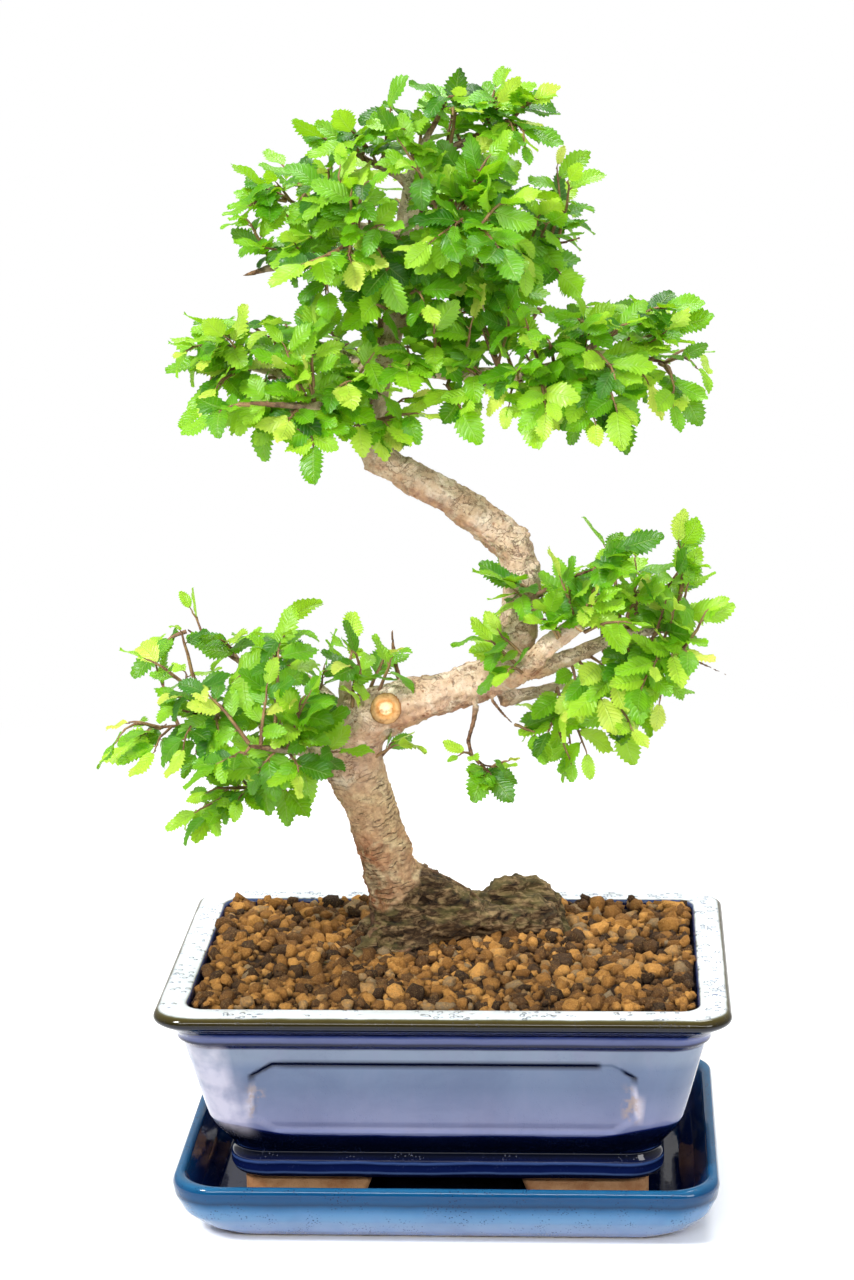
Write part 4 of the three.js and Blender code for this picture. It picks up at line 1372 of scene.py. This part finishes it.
@dataclass
class Soil:
    """Baked clay granules heaped to just under the rim."""

    seed: int = 41
    layers: tuple[tuple[float, int], ...] = ((-2.4, 700), (-0.2, 1950), (1.5, 820))
    half_length: float = 92.3
    side_difference: float = 27.5
    level: float = 88.5
    smallest: float = 2.5
    largest: float = 6.3
    spacing: float = 0.37
    corner: float = 8.0
    cell: float = 5.0
    tries: int = 14
    shapes: int = 14
    batch: int = 120
    dark_share: float = 0.24
    grey_share: float = 0.07
    wood: BVHTree | None = field(default=None, repr=False)

    def surface(self, x: float, y: float) -> float:
        """The soil's height at a place, in millimetres, as the frame has it."""
        lump = math.sin(x * 0.31 + 1.3) * math.cos(y * 0.37) + 0.6 * math.sin(x * 0.13 - y * 0.21)
        crown = max(0.0, 1 - math.hypot((x + 5) / 70, (y - 18) / 50))
        return self.level + 0.9 * lump + 2.4 * crown

    def templates(self, random: Random) -> list[bpy.types.Mesh]:
        """Makes a few knobbly granules of unit size.

        Args:
            random: The draw.

        Returns:
            Their meshes.
        """
        made = []
        for number in range(self.shapes):
            bm = bmesh.new()
            bm.verts.layers.float.new("tone")
            bmesh.ops.create_cube(bm, size=1.0)
            bmesh.ops.bevel(bm, geom=bm.edges[:], offset=random.uniform(0.2, 0.3), segments=1, profile=0.5,
                            affect="EDGES", clamp_overlap=True, material=-1)
            shift = Vector((number * 7.3, 2.1, 5.9))
            for vertex in bm.verts:
                vertex.co *= 1 + 0.6 * noise.noise(vertex.co * 1.9 + shift)
                vertex.co += noise.noise_vector(vertex.co * 2.6 + shift) * 0.12
            made.append(mesh_of(bm, f"granule_{number}"))
        return made

    def free_place(self, place: Vector, size: float) -> bool:
        """Whether a granule there is clear of the wood."""
        near, normal, _, away = self.wood.find_nearest(place * MM)
        if near is None:
            return True
        within = (place * MM - near).dot(normal) < 0
        return not within and away / MM > 0.25 * size

    def places(self, random: Random) -> list[tuple[Vector, float]]:
        """Throws granules on the soil in layers, each clear of its neighbours in the layer.

        Args:
            random: The draw.

        Returns:
            Each granule's middle and size, in millimetres.
        """
        found: list[tuple[Vector, float]] = []
        half_depth = self.half_length - self.side_difference
        for offset, wanted in self.layers:
            grid: dict[tuple[int, int], list[tuple[float, float, float]]] = {}
            made = 0
            for _ in range(wanted * self.tries):
                if made >= wanted:
                    break
                size = self.smallest + (self.largest - self.smallest) * random.random() ** 1.5
                x = random.uniform(-1, 1) * (self.half_length - size * 0.55)
                y = random.uniform(-1, 1) * (half_depth - size * 0.55)
                corner_x = abs(x) - self.half_length + self.corner
                corner_y = abs(y) - half_depth + self.corner
                in_corner = corner_x > 0 and corner_y > 0
                if in_corner and math.hypot(corner_x, corner_y) > self.corner - size * 0.5:
                    continue
                cell = (int(x // self.cell), int(y // self.cell))
                around = [g for i in (-1, 0, 1) for j in (-1, 0, 1)
                          for g in grid.get((cell[0] + i, cell[1] + j), ())]
                if any(math.hypot(x - a, y - b) < self.spacing * (size + s) for a, b, s in around):
                    continue
                edge = max(abs(x), abs(y) + self.side_difference)
                heaped = 1.5 * smoothstep(82, 90, edge) if offset > -1 else 0.0
                height = self.surface(x, y) + offset + heaped + random.uniform(-0.7, 0.7) - 0.45
                place = Vector((x, y, height))
                if not self.free_place(place, size):
                    continue
                grid.setdefault(cell, []).append((x, y, size))
                found.append((place, size))
                made += 1
        return found

    def build(self) -> bpy.types.Object:
        """Heaps the granules.

        Returns:
            The piece.
        """
        random = Random(self.seed)
        shapes = self.templates(random)
        places = self.places(random)
        heap = bmesh.new()
        heap.verts.layers.float.new("tone")
        for first in range(0, len(places), self.batch):
            part = self.spread(places[first:first + self.batch], shapes, random)
            heap.from_mesh(part)
            bpy.data.meshes.remove(part)
        for shape in shapes:
            bpy.data.meshes.remove(shape)
        mesh = mesh_of(heap, "soil_granules")
        return finished_piece("soil_granules", mesh, [], [SOIL_GRANULES.material()])

    def spread(self, places: Sequence[tuple[Vector, float]], shapes: Sequence[bpy.types.Mesh],
               random: Random) -> bpy.types.Mesh:
        """Lays a batch of granules, each turned and stretched its own way.

        Args:
            places: Their middles and sizes, in millimetres.
            shapes: The granules to repeat.
            random: The draw.

        Returns:
            The batch's mesh, in metres.
        """
        bm = bmesh.new()
        tone = bm.verts.layers.float.new("tone")
        for place, size in places:
            start = len(bm.verts)
            bm.from_mesh(shapes[random.randrange(self.shapes)])
            bm.verts.ensure_lookup_table()
            fresh = bm.verts[start:]
            sides = [random.uniform(low, high) for low, high in ((0.8, 1.25), (0.8, 1.2), (0.7, 1.0))]
            angle = random.uniform(0, 6.28)
            axis = Vector((random.gauss(0, 1), random.gauss(0, 1), 1))
            matrix = (Matrix.Translation(place * MM) @ Matrix.Rotation(angle, 4, axis)
                      @ Matrix.Diagonal((*sides, 1)) @ Matrix.Scale(size * MM, 4))
            bmesh.ops.transform(bm, matrix=matrix, verts=fresh)
            drawn = random.random()
            value = 0.05 + 0.25 * random.random() if drawn < self.dark_share else random.gauss(0.55, 0.17)
            value = random.uniform(0.86, 0.98) if drawn > 1 - self.grey_share else value
            for vertex in fresh:
                vertex[tone] = value
        return mesh_of(bm, "granule_batch")


# ---------------------------------------------------------------- leaves


class Pad(Enum):
    """The clouds of leaves, named as their shoots are."""

    CROWN = "crown"
    MIDDLE_LEFT = "middle_left"
    MIDDLE_RIGHT = "middle_right"
    LOW_RIGHT = "low_right"
    LOW_LEFT = "low_left"
    HANGING = "hanging"


@dataclass(frozen=True)
class Cloud:
    """One pad of leaves: its middle and half sizes, and the knots of leaves on its face, in millimetres."""

    pad: Pad
    middle: tuple[float, float, float]
    half: tuple[float, float, float]
    knots: tuple[tuple[int, int, int], ...]
    behind: float = 0.85
    leaf_size: float = 1.0
    tone: float = 0.5


CLOUDS = (
    Cloud(Pad.CROWN, (-10, 2, 368), (66, 50, 52), (
        (6, 410, 10), (24, 412, 10), (34, 410, 6), (-9, 403, 10), (-27, 399, 10), (15, 393, 12),
        (-3, 387, 13), (-23, 384, 13), (-41, 380, 11), (-56, 386, 7), (-64, 372, 10), (-48, 366, 11),
        (23, 379, 11), (39, 370, 10), (6, 369, 12), (-13, 361, 11), (-30, 362, 12), (31, 357, 10),
        (15, 353, 11), (-2, 346, 11), (-25, 349, 10), (-40, 345, 8), (26, 342, 10), (44, 384, 7),
        (12, 382, 10), (2, 362, 9), (-10, 396, 9), (-36, 392, 9), (-18, 374, 9), (28, 400, 9), (30, 366, 10),
        (-8, 352, 9), (-18, 340, 10), (-4, 333, 9), (12, 338, 9),
    ), behind=0.95),
    Cloud(Pad.MIDDLE_LEFT, (-50, 0, 314), (54, 42, 28), (
        (-88, 324, 9), (-74, 330, 11), (-57, 329, 12), (-41, 330, 11), (-81, 312, 10), (-65, 308, 10),
        (-48, 314, 10), (-61, 298, 6), (-34, 318, 10), (-33, 299, 10), (-20, 309, 7), (-8, 323, 9),
        (-10, 302, 6), (-86, 303, 4), (-24, 326, 9), (-14, 316, 8), (-30, 308, 8), (-18, 298, 8),
        (-24, 336, 8), (-50, 302, 8),
    ), tone=0.56),
    Cloud(Pad.MIDDLE_RIGHT, (46, 0, 316), (56, 40, 28), (
        (1, 329, 10), (18, 333, 11), (36, 332, 11), (54, 330, 10), (69, 332, 9), (81, 326, 9),
        (91, 317, 6), (62, 318, 10), (42, 307, 9), (56, 303, 10), (73, 311, 7), (84, 301, 7),
        (14, 307, 6), (26, 304, 4), (8, 320, 8), (46, 318, 9), (28, 318, 8), (64, 305, 8),
    ), tone=0.53),
    Cloud(Pad.LOW_RIGHT, (56, -2, 212), (52, 32, 44), (
        (87, 248, 8), (91, 236, 5), (72, 242, 7), (57, 243, 9), (43, 238, 8), (25, 237, 7),
        (37, 227, 9), (54, 228, 9), (69, 227, 9), (82, 227, 10), (96, 226, 4), (80, 213, 10),
        (89, 212, 6), (72, 202, 9), (60, 197, 9), (46, 194, 10), (34, 181, 7), (54, 173, 7),
        (67, 184, 7), (46, 168, 4), (20, 217, 9), (25, 207, 7), (81, 192, 5),
    ), behind=0.6, tone=0.55),
    Cloud(Pad.LOW_LEFT, (-72, -2, 188), (58, 40, 42), (
        (-112, 207, 7), (-98, 220, 4), (-100, 194, 6), (-121, 180, 4), (-106, 174, 7), (-87, 203, 9),
        (-58, 217, 8), (-67, 203, 10), (-50, 201, 10), (-36, 209, 9), (-22, 207, 7), (-46, 189, 10),
        (-63, 187, 11), (-81, 186, 10), (-93, 176, 8), (-70, 172, 10), (-53, 174, 10), (-40, 173, 7),
        (-79, 156, 9), (-90, 160, 6), (-94, 146, 7), (-59, 160, 6), (-20, 173, 3),
    ), behind=0.6),
    Cloud(Pad.HANGING, (12, -14, 170), (14, 10, 12), (
        (8, 173, 5), (15, 168, 5), (22, 171, 5),
    ), behind=0.0, leaf_size=0.62, tone=0.6),
)


@dataclass(frozen=True)
class Leaf:
    """A leaf: its base, the way its blade runs, the way its face looks, its size in mm and its tone."""

    base: Vector
    along: Vector
    up: Vector
    length: float
    width: float
    tone: float


@dataclass
class Blades:
    """A few serrated elm leaves of unit length that the shoots repeat.

    A tooth's tip and root are each given as a share of the blade's width and a shift along it.
    """

    shapes: int = 7
    rows: int = 18
    columns: int = 4
    seed: int = 5
    tooth_tip: tuple[float, float] = (1.12, 0.026)
    tooth_root: tuple[float, float] = (0.86, -0.004)
    least_droop: float = 0.05

    @staticmethod
    def half_width(share: float) -> float:
        """Half the blade's width at a share of its length, for a blade one wide."""
        inside = min(max(share, 0.0), 1.0)
        return 0.5 * (inside ** 0.68 * (1 - inside) ** 0.76) / (0.472 ** 0.68 * 0.528 ** 0.76)

    def blade(self, random: Random, number: int) -> bpy.types.Mesh:
        """Shapes one leaf from a grid: toothed edge, folded midrib, drooping tip.

        Args:
            random: The draw.
            number: The leaf's number.

        Returns:
            Its mesh, its base at the origin, running along Y, face up Z.
        """
        bm = bmesh.new()
        bm.verts.layers.float.new("tone")
        bm.loops.layers.uv.new("UVMap")
        bmesh.ops.create_grid(bm, x_segments=self.columns, y_segments=self.rows, size=0.5, calc_uvs=True)
        fold = random.uniform(0.12, 0.42)
        droop = random.uniform(-0.25, 1.0)
        wave = random.uniform(0.02, 0.07)
        skew = random.uniform(-0.12, 0.12)
        phase = random.uniform(0, 6.28)
        for vertex in bm.verts:
            across, share = vertex.co.x * 2, vertex.co.y + 0.5
            row = round(share * self.rows)
            edge = abs(across) > 0.9
            half = self.half_width(0.02 + 0.98 * share)
            tooth, forward = 1.0, 0.0
            if edge and 1 < row < self.rows:
                tooth, forward = self.tooth_tip if row % 2 else self.tooth_root
            x = across * half * tooth
            y = share + forward + 0.03 * abs(across) * share
            z = fold * abs(x) - 0.55 * x * x + wave * math.sin(share * 9 + phase + across) * abs(across)
            x += skew * math.sin(share * math.pi) * 0.5
            if abs(droop) > self.least_droop:
                angle, radius = droop * y, 1 / droop
                y = radius * math.sin(angle) + z * math.sin(angle)
                z = z * math.cos(angle) - radius * (1 - math.cos(angle))
            vertex.co = Vector((x, y, z))
        bm.normal_update()
        return mesh_of(bm, f"blade_{number}")

    def build(self) -> list[bpy.types.Mesh]:
        """Makes the leaves that are repeated."""
        random = Random(self.seed)
        return [self.blade(random, n) for n in range(self.shapes)]


@dataclass
class Shoot:
    """One leafy shoot: thin stems and the leaves on them."""

    name: str
    stems: list[tuple[list[Vector], float, float]] = field(default_factory=list)
    leaves: list[Leaf] = field(default_factory=list)
    middle: Vector = field(default_factory=Vector)

    def stem_mesh(self) -> bpy.types.Mesh:
        """The stems and leaf stalks as tapered, closed rods.

        Returns:
            Their mesh, in metres.
        """
        curve = bpy.data.curves.new(self.name + "_stems", "CURVE")
        curve.dimensions = "3D"
        curve.bevel_depth = MM
        curve.bevel_resolution = 0
        curve.use_fill_caps = True
        curve.resolution_u = 1
        stalks = [([leaf.base - leaf.along * 1.6 - leaf.up * 0.4, leaf.base + leaf.along * 0.5], 0.3, 0.2)
                  for leaf in self.leaves]
        for points, thick, thin in self.stems + stalks:
            spline = curve.splines.new("POLY")
            spline.points.add(len(points) - 1)
            for number, (spot, point) in enumerate(zip(spline.points, points)):
                spot.co = (*(point * MM), 1)
                spot.radius = thick + (thin - thick) * number / (len(points) - 1)
        return evaluated_mesh(placed(self.name + "_stems", curve))

    def build(self, blades: Sequence[bpy.types.Mesh], random: Random,
              materials: Sequence[bpy.types.Material]) -> bpy.types.Object:
        """Joins stems and leaves in one piece.

        Args:
            blades: The leaves to repeat.
            random: The draw.
            materials: Leaf and stem materials.

        Returns:
            The piece.
        """
        bm = bmesh.new()
        tone = bm.verts.layers.float.new("tone")
        bm.loops.layers.uv.new("UVMap")
        for leaf in self.leaves:
            start = len(bm.verts)
            bm.from_mesh(blades[random.randrange(len(blades))])
            bm.verts.ensure_lookup_table()
            fresh = bm.verts[start:]
            up = square_to(leaf.along, leaf.up)
            side = leaf.along.cross(up)
            size = Matrix.Diagonal((leaf.width * MM, leaf.length * MM, leaf.length * MM, 1))
            turn = Matrix((side, leaf.along, up)).transposed().to_4x4()
            bmesh.ops.transform(bm, matrix=Matrix.Translation(leaf.base * MM) @ turn @ size, verts=fresh)
            for vertex in fresh:
                vertex[tone] = leaf.tone
        blade_faces = len(bm.faces)
        stems = self.stem_mesh()
        bm.from_mesh(stems)
        bpy.data.meshes.remove(stems)
        for number, face in enumerate(bm.faces):
            face.material_index = 0 if number < blade_faces else 1
        mesh = mesh_of(bm, self.name + "_leaves")
        return finished_piece(self.name + "_leaves", mesh, [self.name], materials)


@dataclass
class Foliage:
    """All leafy shoots: the frame's own, and the thin side shoots that fill the clouds between them."""

    seed: int = 23
    reach_scale: float = 1.92
    width_scale: float = 0.98
    leaf_gap: float = 4.7
    longest_side: float = 46.0
    clear_line: tuple[Point, ...] = (
        (-26, -1, 300), (-20.6, 1, 321), (-15, 3, 339), (-14, 4, 357), (-12, 3, 375), (-8, 2, 390),
    )
    clear_half: float = 4.6
    clear_share: float = 0.72
    wood: BVHTree | None = field(default=None, repr=False)

    @staticmethod
    def poles(bm: bmesh.types.BMesh) -> Iterable[tuple[bmesh.types.BMVert, bmesh.types.BMVert, list]]:
        """The two faces' middle points of each leaf of the frame, which stand 1 mm apart.

        Args:
            bm: A shoot of the frame, joined.

        Yields:
            The two points and the corners both are joined to.
        """
        tree = KDTree(len(bm.verts))
        for vertex in bm.verts:
            tree.insert(vertex.co, vertex.index)
        tree.balance()
        used: set[int] = set()
        for vertex in bm.verts:
            if vertex.index in used:
                continue
            mine = [e.other_vert(vertex) for e in vertex.link_edges]
            for _, index, away in tree.find_range(vertex.co, 1.02 * MM):
                other = bm.verts[index]
                if index in used or other in mine or abs(away - MM) > 0.02 * MM:
                    continue
                shared = [v for v in mine if any(e.other_vert(v) is other for e in v.link_edges)]
                if len(shared) > 2:
                    used.update((vertex.index, index))
                    yield vertex, other, shared
                    break

    def frame_leaves(self, node: str, random: Random) -> list[Leaf]:
        """Reads the places of a shoot's leaves from the frame.

        Args:
            node: The shoot's name.
            random: The draw, for the tones.

        Returns:
            The leaves.
        """
        bm = merged_copy(node)
        found = []
        for first, second, shared in self.poles(bm):
            middle = (first.co + second.co) / 2 / MM
            up = (first.co - second.co).normalized()
            corners = [v.co / MM for v in shared]
            tip = max(corners, key=lambda c: (c - middle).length)
            along = (tip - middle).normalized()
            sides = [c for c in corners if abs((c - middle).normalized().dot(along)) < 0.75]
            if not sides:
                continue
            if sum((c - middle).dot(up) for c in sides) < 0:
                up = -up
            reach = (tip - middle).length
            width = max((c - middle - along * (c - middle).dot(along)).length for c in sides) * 2
            tone = min(max(random.gauss(0.4, 0.17), 0.02), 0.85)
            found.append(Leaf(middle - along * reach, along, up, reach * self.reach_scale,
                              width * self.width_scale, tone))
        bm.free()
        return found

    def nearest_wood(self, point: Vector) -> Vector:
        """The nearest place just under the bark, in millimetres."""
        near, normal, _, _ = self.wood.find_nearest(point * MM)
        return near / MM - normal * 0.35

    def read_shoot(self, node: str, random: Random) -> Shoot:
        """Rebuilds one of the frame's shoots.

        Args:
            node: Its name.
            random: The draw.

        Returns:
            The shoot.
        """
        leaves = self.frame_leaves(node, random)
        shoot = Shoot(node, leaves=leaves)
        low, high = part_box(node)
        shoot.middle = (low + high) / 2 / MM
        if leaves:
            first = min((leaf.base for leaf in leaves), key=lambda b: (self.nearest_wood(b) - b).length)
            start = self.nearest_wood(first)
            spine = sorted((leaf.base for leaf in leaves), key=lambda b: (b - start).length)
            shoot.stems.append(([start] + spine, 0.85, 0.38))
        return shoot

    def side_shoot(self, cloud: Cloud, knot: Point, front: bool, random: Random, shoot: Shoot) -> None:
        """Grows a thin side shoot from the wood to a knot of leaves and leafs it.

        Args:
            cloud: The pad it fills.
            knot: x, z and radius of the knot.
            front: Whether it grows on the pad's front; otherwise on its back.
            random: The draw.
            shoot: The shoot it becomes part of.
        """
        x, z, radius = knot
        middle, half = Vector(cloud.middle), Vector(cloud.half)
        dx, dz = (x - middle.x) / half.x, (z - middle.z) / half.z
        depth = half.y * math.sqrt(max(0.06, 1 - dx * dx - dz * dz))
        share = random.uniform(0.35, 0.9) if front else -random.uniform(0.2, 0.95)
        spread = 0.42 * radius
        target = Vector((x + random.uniform(-spread, spread), middle.y - depth * share,
                         z + random.uniform(-spread, spread)))
        outward = Vector((target.x - middle.x, target.y - middle.y, (target.z - middle.z) * 0.6)).normalized()
        start = self.nearest_wood(target - outward * 7 - Vector((0, 0, 7)))
        reach = target - start
        if reach.length > self.longest_side:
            start = self.nearest_wood(target - reach.normalized() * self.longest_side)
            reach = target - start
        arch = Vector((0, 0, 1)) * reach.length * random.uniform(0.05, 0.2) + outward * reach.length * 0.08
        steps = max(4, int(reach.length / 5))
        path = []
        for number in range(steps + 1):
            share = number / steps
            jitter = noise.noise_vector(start + reach * share * 1.3) * 0.7 * min(share * 3, 1)
            path.append(start + reach * share + arch * (4 * share * (1 - share)) + jitter)
        shoot.stems.append((path, 0.55 + 0.012 * reach.length, 0.3))
        self.leaf_out(path, radius, outward, cloud, random, shoot)

    def hides_trunk(self, middle: Vector) -> bool:
        """Whether a leaf with its middle there would stand just before the upper trunk."""
        for first, second in zip(self.clear_line, self.clear_line[1:]):
            if first[2] <= middle.z < second[2]:
                share = (middle.z - first[2]) / (second[2] - first[2])
                at = Vector(first).lerp(Vector(second), share)
                return abs(middle.x - at.x) < self.clear_half and middle.y < at.y
        return False

    def leaf_out(self, path: Sequence[Vector], radius: float, outward: Vector, cloud: Cloud, random: Random,
                 shoot: Shoot) -> None:
        """Sets leaves left and right along the outer part of a stem, and one at its tip.

        Args:
            path: The stem's points.
            radius: How far along the stem, about, the leaves spread from its tip.
            outward: The way out of the pad.
            cloud: The pad.
            random: The draw.
            shoot: The shoot that gets the leaves.
        """
        runs = [0.0]
        for first, second in zip(path, path[1:]):
            runs.append(runs[-1] + (second - first).length)
        count = max(2, min(7, round(radius * 0.58)))
        gap = min(self.leaf_gap, runs[-1] / (count + 0.5))
        for number in range(count):
            run = max(runs[-1] - gap * number, 0.0)
            index = max(i for i, r in enumerate(runs) if r <= run + 1e-9)
            index = min(index, len(path) - 2)
            stretch = runs[index + 1] - runs[index]
            base = path[index].lerp(path[index + 1], (run - runs[index]) / stretch)
            forward = (path[index + 1] - path[index]).normalized()
            tilt = Vector([random.gauss(0, spread) for spread in (0.3, 0.3, 0.22)])
            face = (Vector((0, -0.28, 0.9)) + outward * 0.55 + tilt).normalized()
            side = forward.cross(face).normalized() * (1 if number % 2 else -1)
            if number == 0:
                along = forward + outward * 0.3
            else:
                along = forward * random.uniform(0.35, 0.8) + side * random.uniform(0.7, 1.1)
            along = (along + Vector((0, 0, -1)) * random.uniform(-0.1, 0.4)
                     + Vector((random.gauss(0, 0.16), random.gauss(0, 0.16), 0))).normalized()
            length = random.uniform(10.4, 15.8) * (0.7 if number == 0 and random.random() < 0.5 else 1.0)
            length *= (0.84 + 0.016 * min(radius, 10)) * cloud.leaf_size
            if self.hides_trunk(base + along * length * 0.5) and random.random() < self.clear_share:
                continue
            young = 0.16 if number == 0 else 0.0
            tone = min(max(random.gauss(cloud.tone - 0.06, 0.17) + young, 0.02), 0.9)
            width = length * random.uniform(0.52, 0.66)
            shoot.leaves.append(Leaf(base + along * 1.3, along, face, length, width, tone))

    def build(self) -> list[bpy.types.Object]:
        """Grows and builds every shoot.

        Returns:
            The pieces.
        """
        random = Random(self.seed)
        nodes = sorted(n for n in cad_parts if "_shoot_" in n)
        shoots = {n: self.read_shoot(n, random) for n in nodes}
        own = sum(len(s.leaves) for s in shoots.values())
        for cloud in CLOUDS:
            mine = [s for n, s in shoots.items() if n.startswith(cloud.pad.value)]
            for knot in cloud.knots:
                sides = [True] * (2 if knot[2] > 7 else 1) + [False] * (random.random() < cloud.behind)
                for front in sides:
                    at = Vector((knot[0], cloud.middle[1] - (12 if front else -12), knot[1]))
                    shoot = min(mine, key=lambda s: (s.middle - at).length)
                    self.side_shoot(cloud, knot, front, random, shoot)
        LOG.info("leaves: %d from the frame, %d in all", own, sum(len(s.leaves) for s in shoots.values()))
        blades = Blades().build()
        materials = [ELM_LEAF.material(), SHOOT_BARK.material()]
        pieces = [s.build(blades, random, materials) for s in shoots.values()]
        for blade in blades:
            bpy.data.meshes.remove(blade)
        return pieces


# ---------------------------------------------------------------- studio


@dataclass
class Studio:
    """Camera, soft lights and a pale floor."""

    eye: Point = (0.0663, -1.1811, 0.4893)
    yaw: float = -3.55
    pitch: float = 13.16
    roll: float = 0.92
    lens: float = 91.8
    sensor: float = 36.0
    floor_half: float = 40.0
    sky: float = 0.62
    dark: float = 0.08
    zenith: float = 0.7

    def camera(self) -> None:
        """Sets up the camera."""
        data = bpy.data.cameras.new("studio_camera")
        data.lens, data.sensor_width = self.lens, self.sensor
        data.sensor_fit = "AUTO"
        data.clip_end = 200
        yaw, pitch, roll = (math.radians(a) for a in (self.yaw, self.pitch, self.roll))
        forward = Vector((math.sin(yaw) * math.cos(pitch), math.cos(yaw) * math.cos(pitch), -math.sin(pitch)))
        right = Vector((math.cos(yaw), -math.sin(yaw), 0))
        down = forward.cross(right)
        turned_right = right * math.cos(roll) + down * math.sin(roll)
        turned_down = down * math.cos(roll) - right * math.sin(roll)
        camera = placed("studio_camera", data)
        turn = Matrix((turned_right, -turned_down, -forward)).transposed().to_4x4()
        camera.matrix_world = Matrix.Translation(self.eye) @ turn
        bpy.context.scene.camera = camera

    @staticmethod
    def lamp(name: str, place: Point, size: float, power: float, height: float | None = None) -> None:
        """Hangs a soft light that looks at the object.

        Args:
            name: The light's name.
            place: Where it hangs, in metres.
            size: Its width.
            power: Its power, in watts.
            height: Its height, if it isn't square.
        """
        data = bpy.data.lights.new(name, "AREA")
        data.shape, data.size, data.size_y, data.energy = "RECTANGLE", size, height or size, power
        light = placed(name, data)
        light.location = place
        light.rotation_euler = (Vector((0, 0, 0.2)) - Vector(place)).to_track_quat("-Z", "Y").to_euler()

    def world(self) -> None:
        """Lights everything softly with a sky that is darker in front and brighter above; it looks white."""
        g = Graph(bpy.data.worlds.new("white_sky"), "OutputWorld")
        _, back, up = g.axes(g.node("TexCoord", {}).outputs["Generated"])
        around = g.level(back, -0.9, 0.15, self.dark, self.sky)
        lit = g.node("Mix", {0: g.level(up, 0.15, 0.85), 2: around, 3: self.zenith}).outputs[0]
        seen = g.node("LightPath", {}).outputs["Is Camera Ray"]
        strength = g.node("Mix", {0: seen, 2: lit, 3: 1.0}).outputs[0]
        sky = g.node("Background", {"Color": WHITE, "Strength": strength}).outputs[0]
        bpy.context.scene.world = g.done(sky)
        bpy.context.scene.view_settings.view_transform = "Standard"

    def floor(self) -> None:
        """Lays the floor, which isn't part of the object."""
        bm = bmesh.new()
        bmesh.ops.create_grid(bm, x_segments=4, y_segments=4, size=self.floor_half)
        mesh = mesh_of(bm, "studio_floor")
        mesh.materials.append(FloorFinish().material())
        placed("studio_floor", mesh)

    def build(self) -> None:
        """Sets up camera, lights and floor."""
        self.camera()
        self.world()
        self.lamp("key", (-1.1, -1.0, 1.5), 0.4, 42)
        self.lamp("fill", (1.3, -1.3, 0.8), 0.6, 10)
        self.lamp("top", (0.2, 0.6, 1.8), 0.9, 28)
        self.lamp("strip", (0.05, -1.6, 1.0), 2.0, 17, 0.2)
        self.floor()


def dress(node: str, material: bpy.types.Material) -> None:
    """Gives a node of the frame its finish."""
    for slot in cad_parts[node].material_slots:
        slot.material = material
    LOG.info("%s: %s", node, material.name)


def main() -> None:
    """Builds every piece in order."""
    logging.basicConfig(level=logging.INFO, format="%(name)s %(relativeCreated)d ms %(message)s")
    noise.seed_set(NOISE_SEED)
    Studio().build()
    wood_tree = BVHTree.FromObject(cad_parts["trunk"], bpy.context.evaluated_depsgraph_get())
    DripTray().build()
    Pot().build()
    plastic = DRAIN_PLASTIC.material()
    for side in ("left", "right"):
        dress("drain_mesh_" + side, plastic)
    dress("soil_bed", SOIL_BELOW.material())
    Soil(wood=wood_tree).build()
    Trunk().build()
    Foliage(wood=wood_tree).build()


if __name__ == "__main__":
    main()
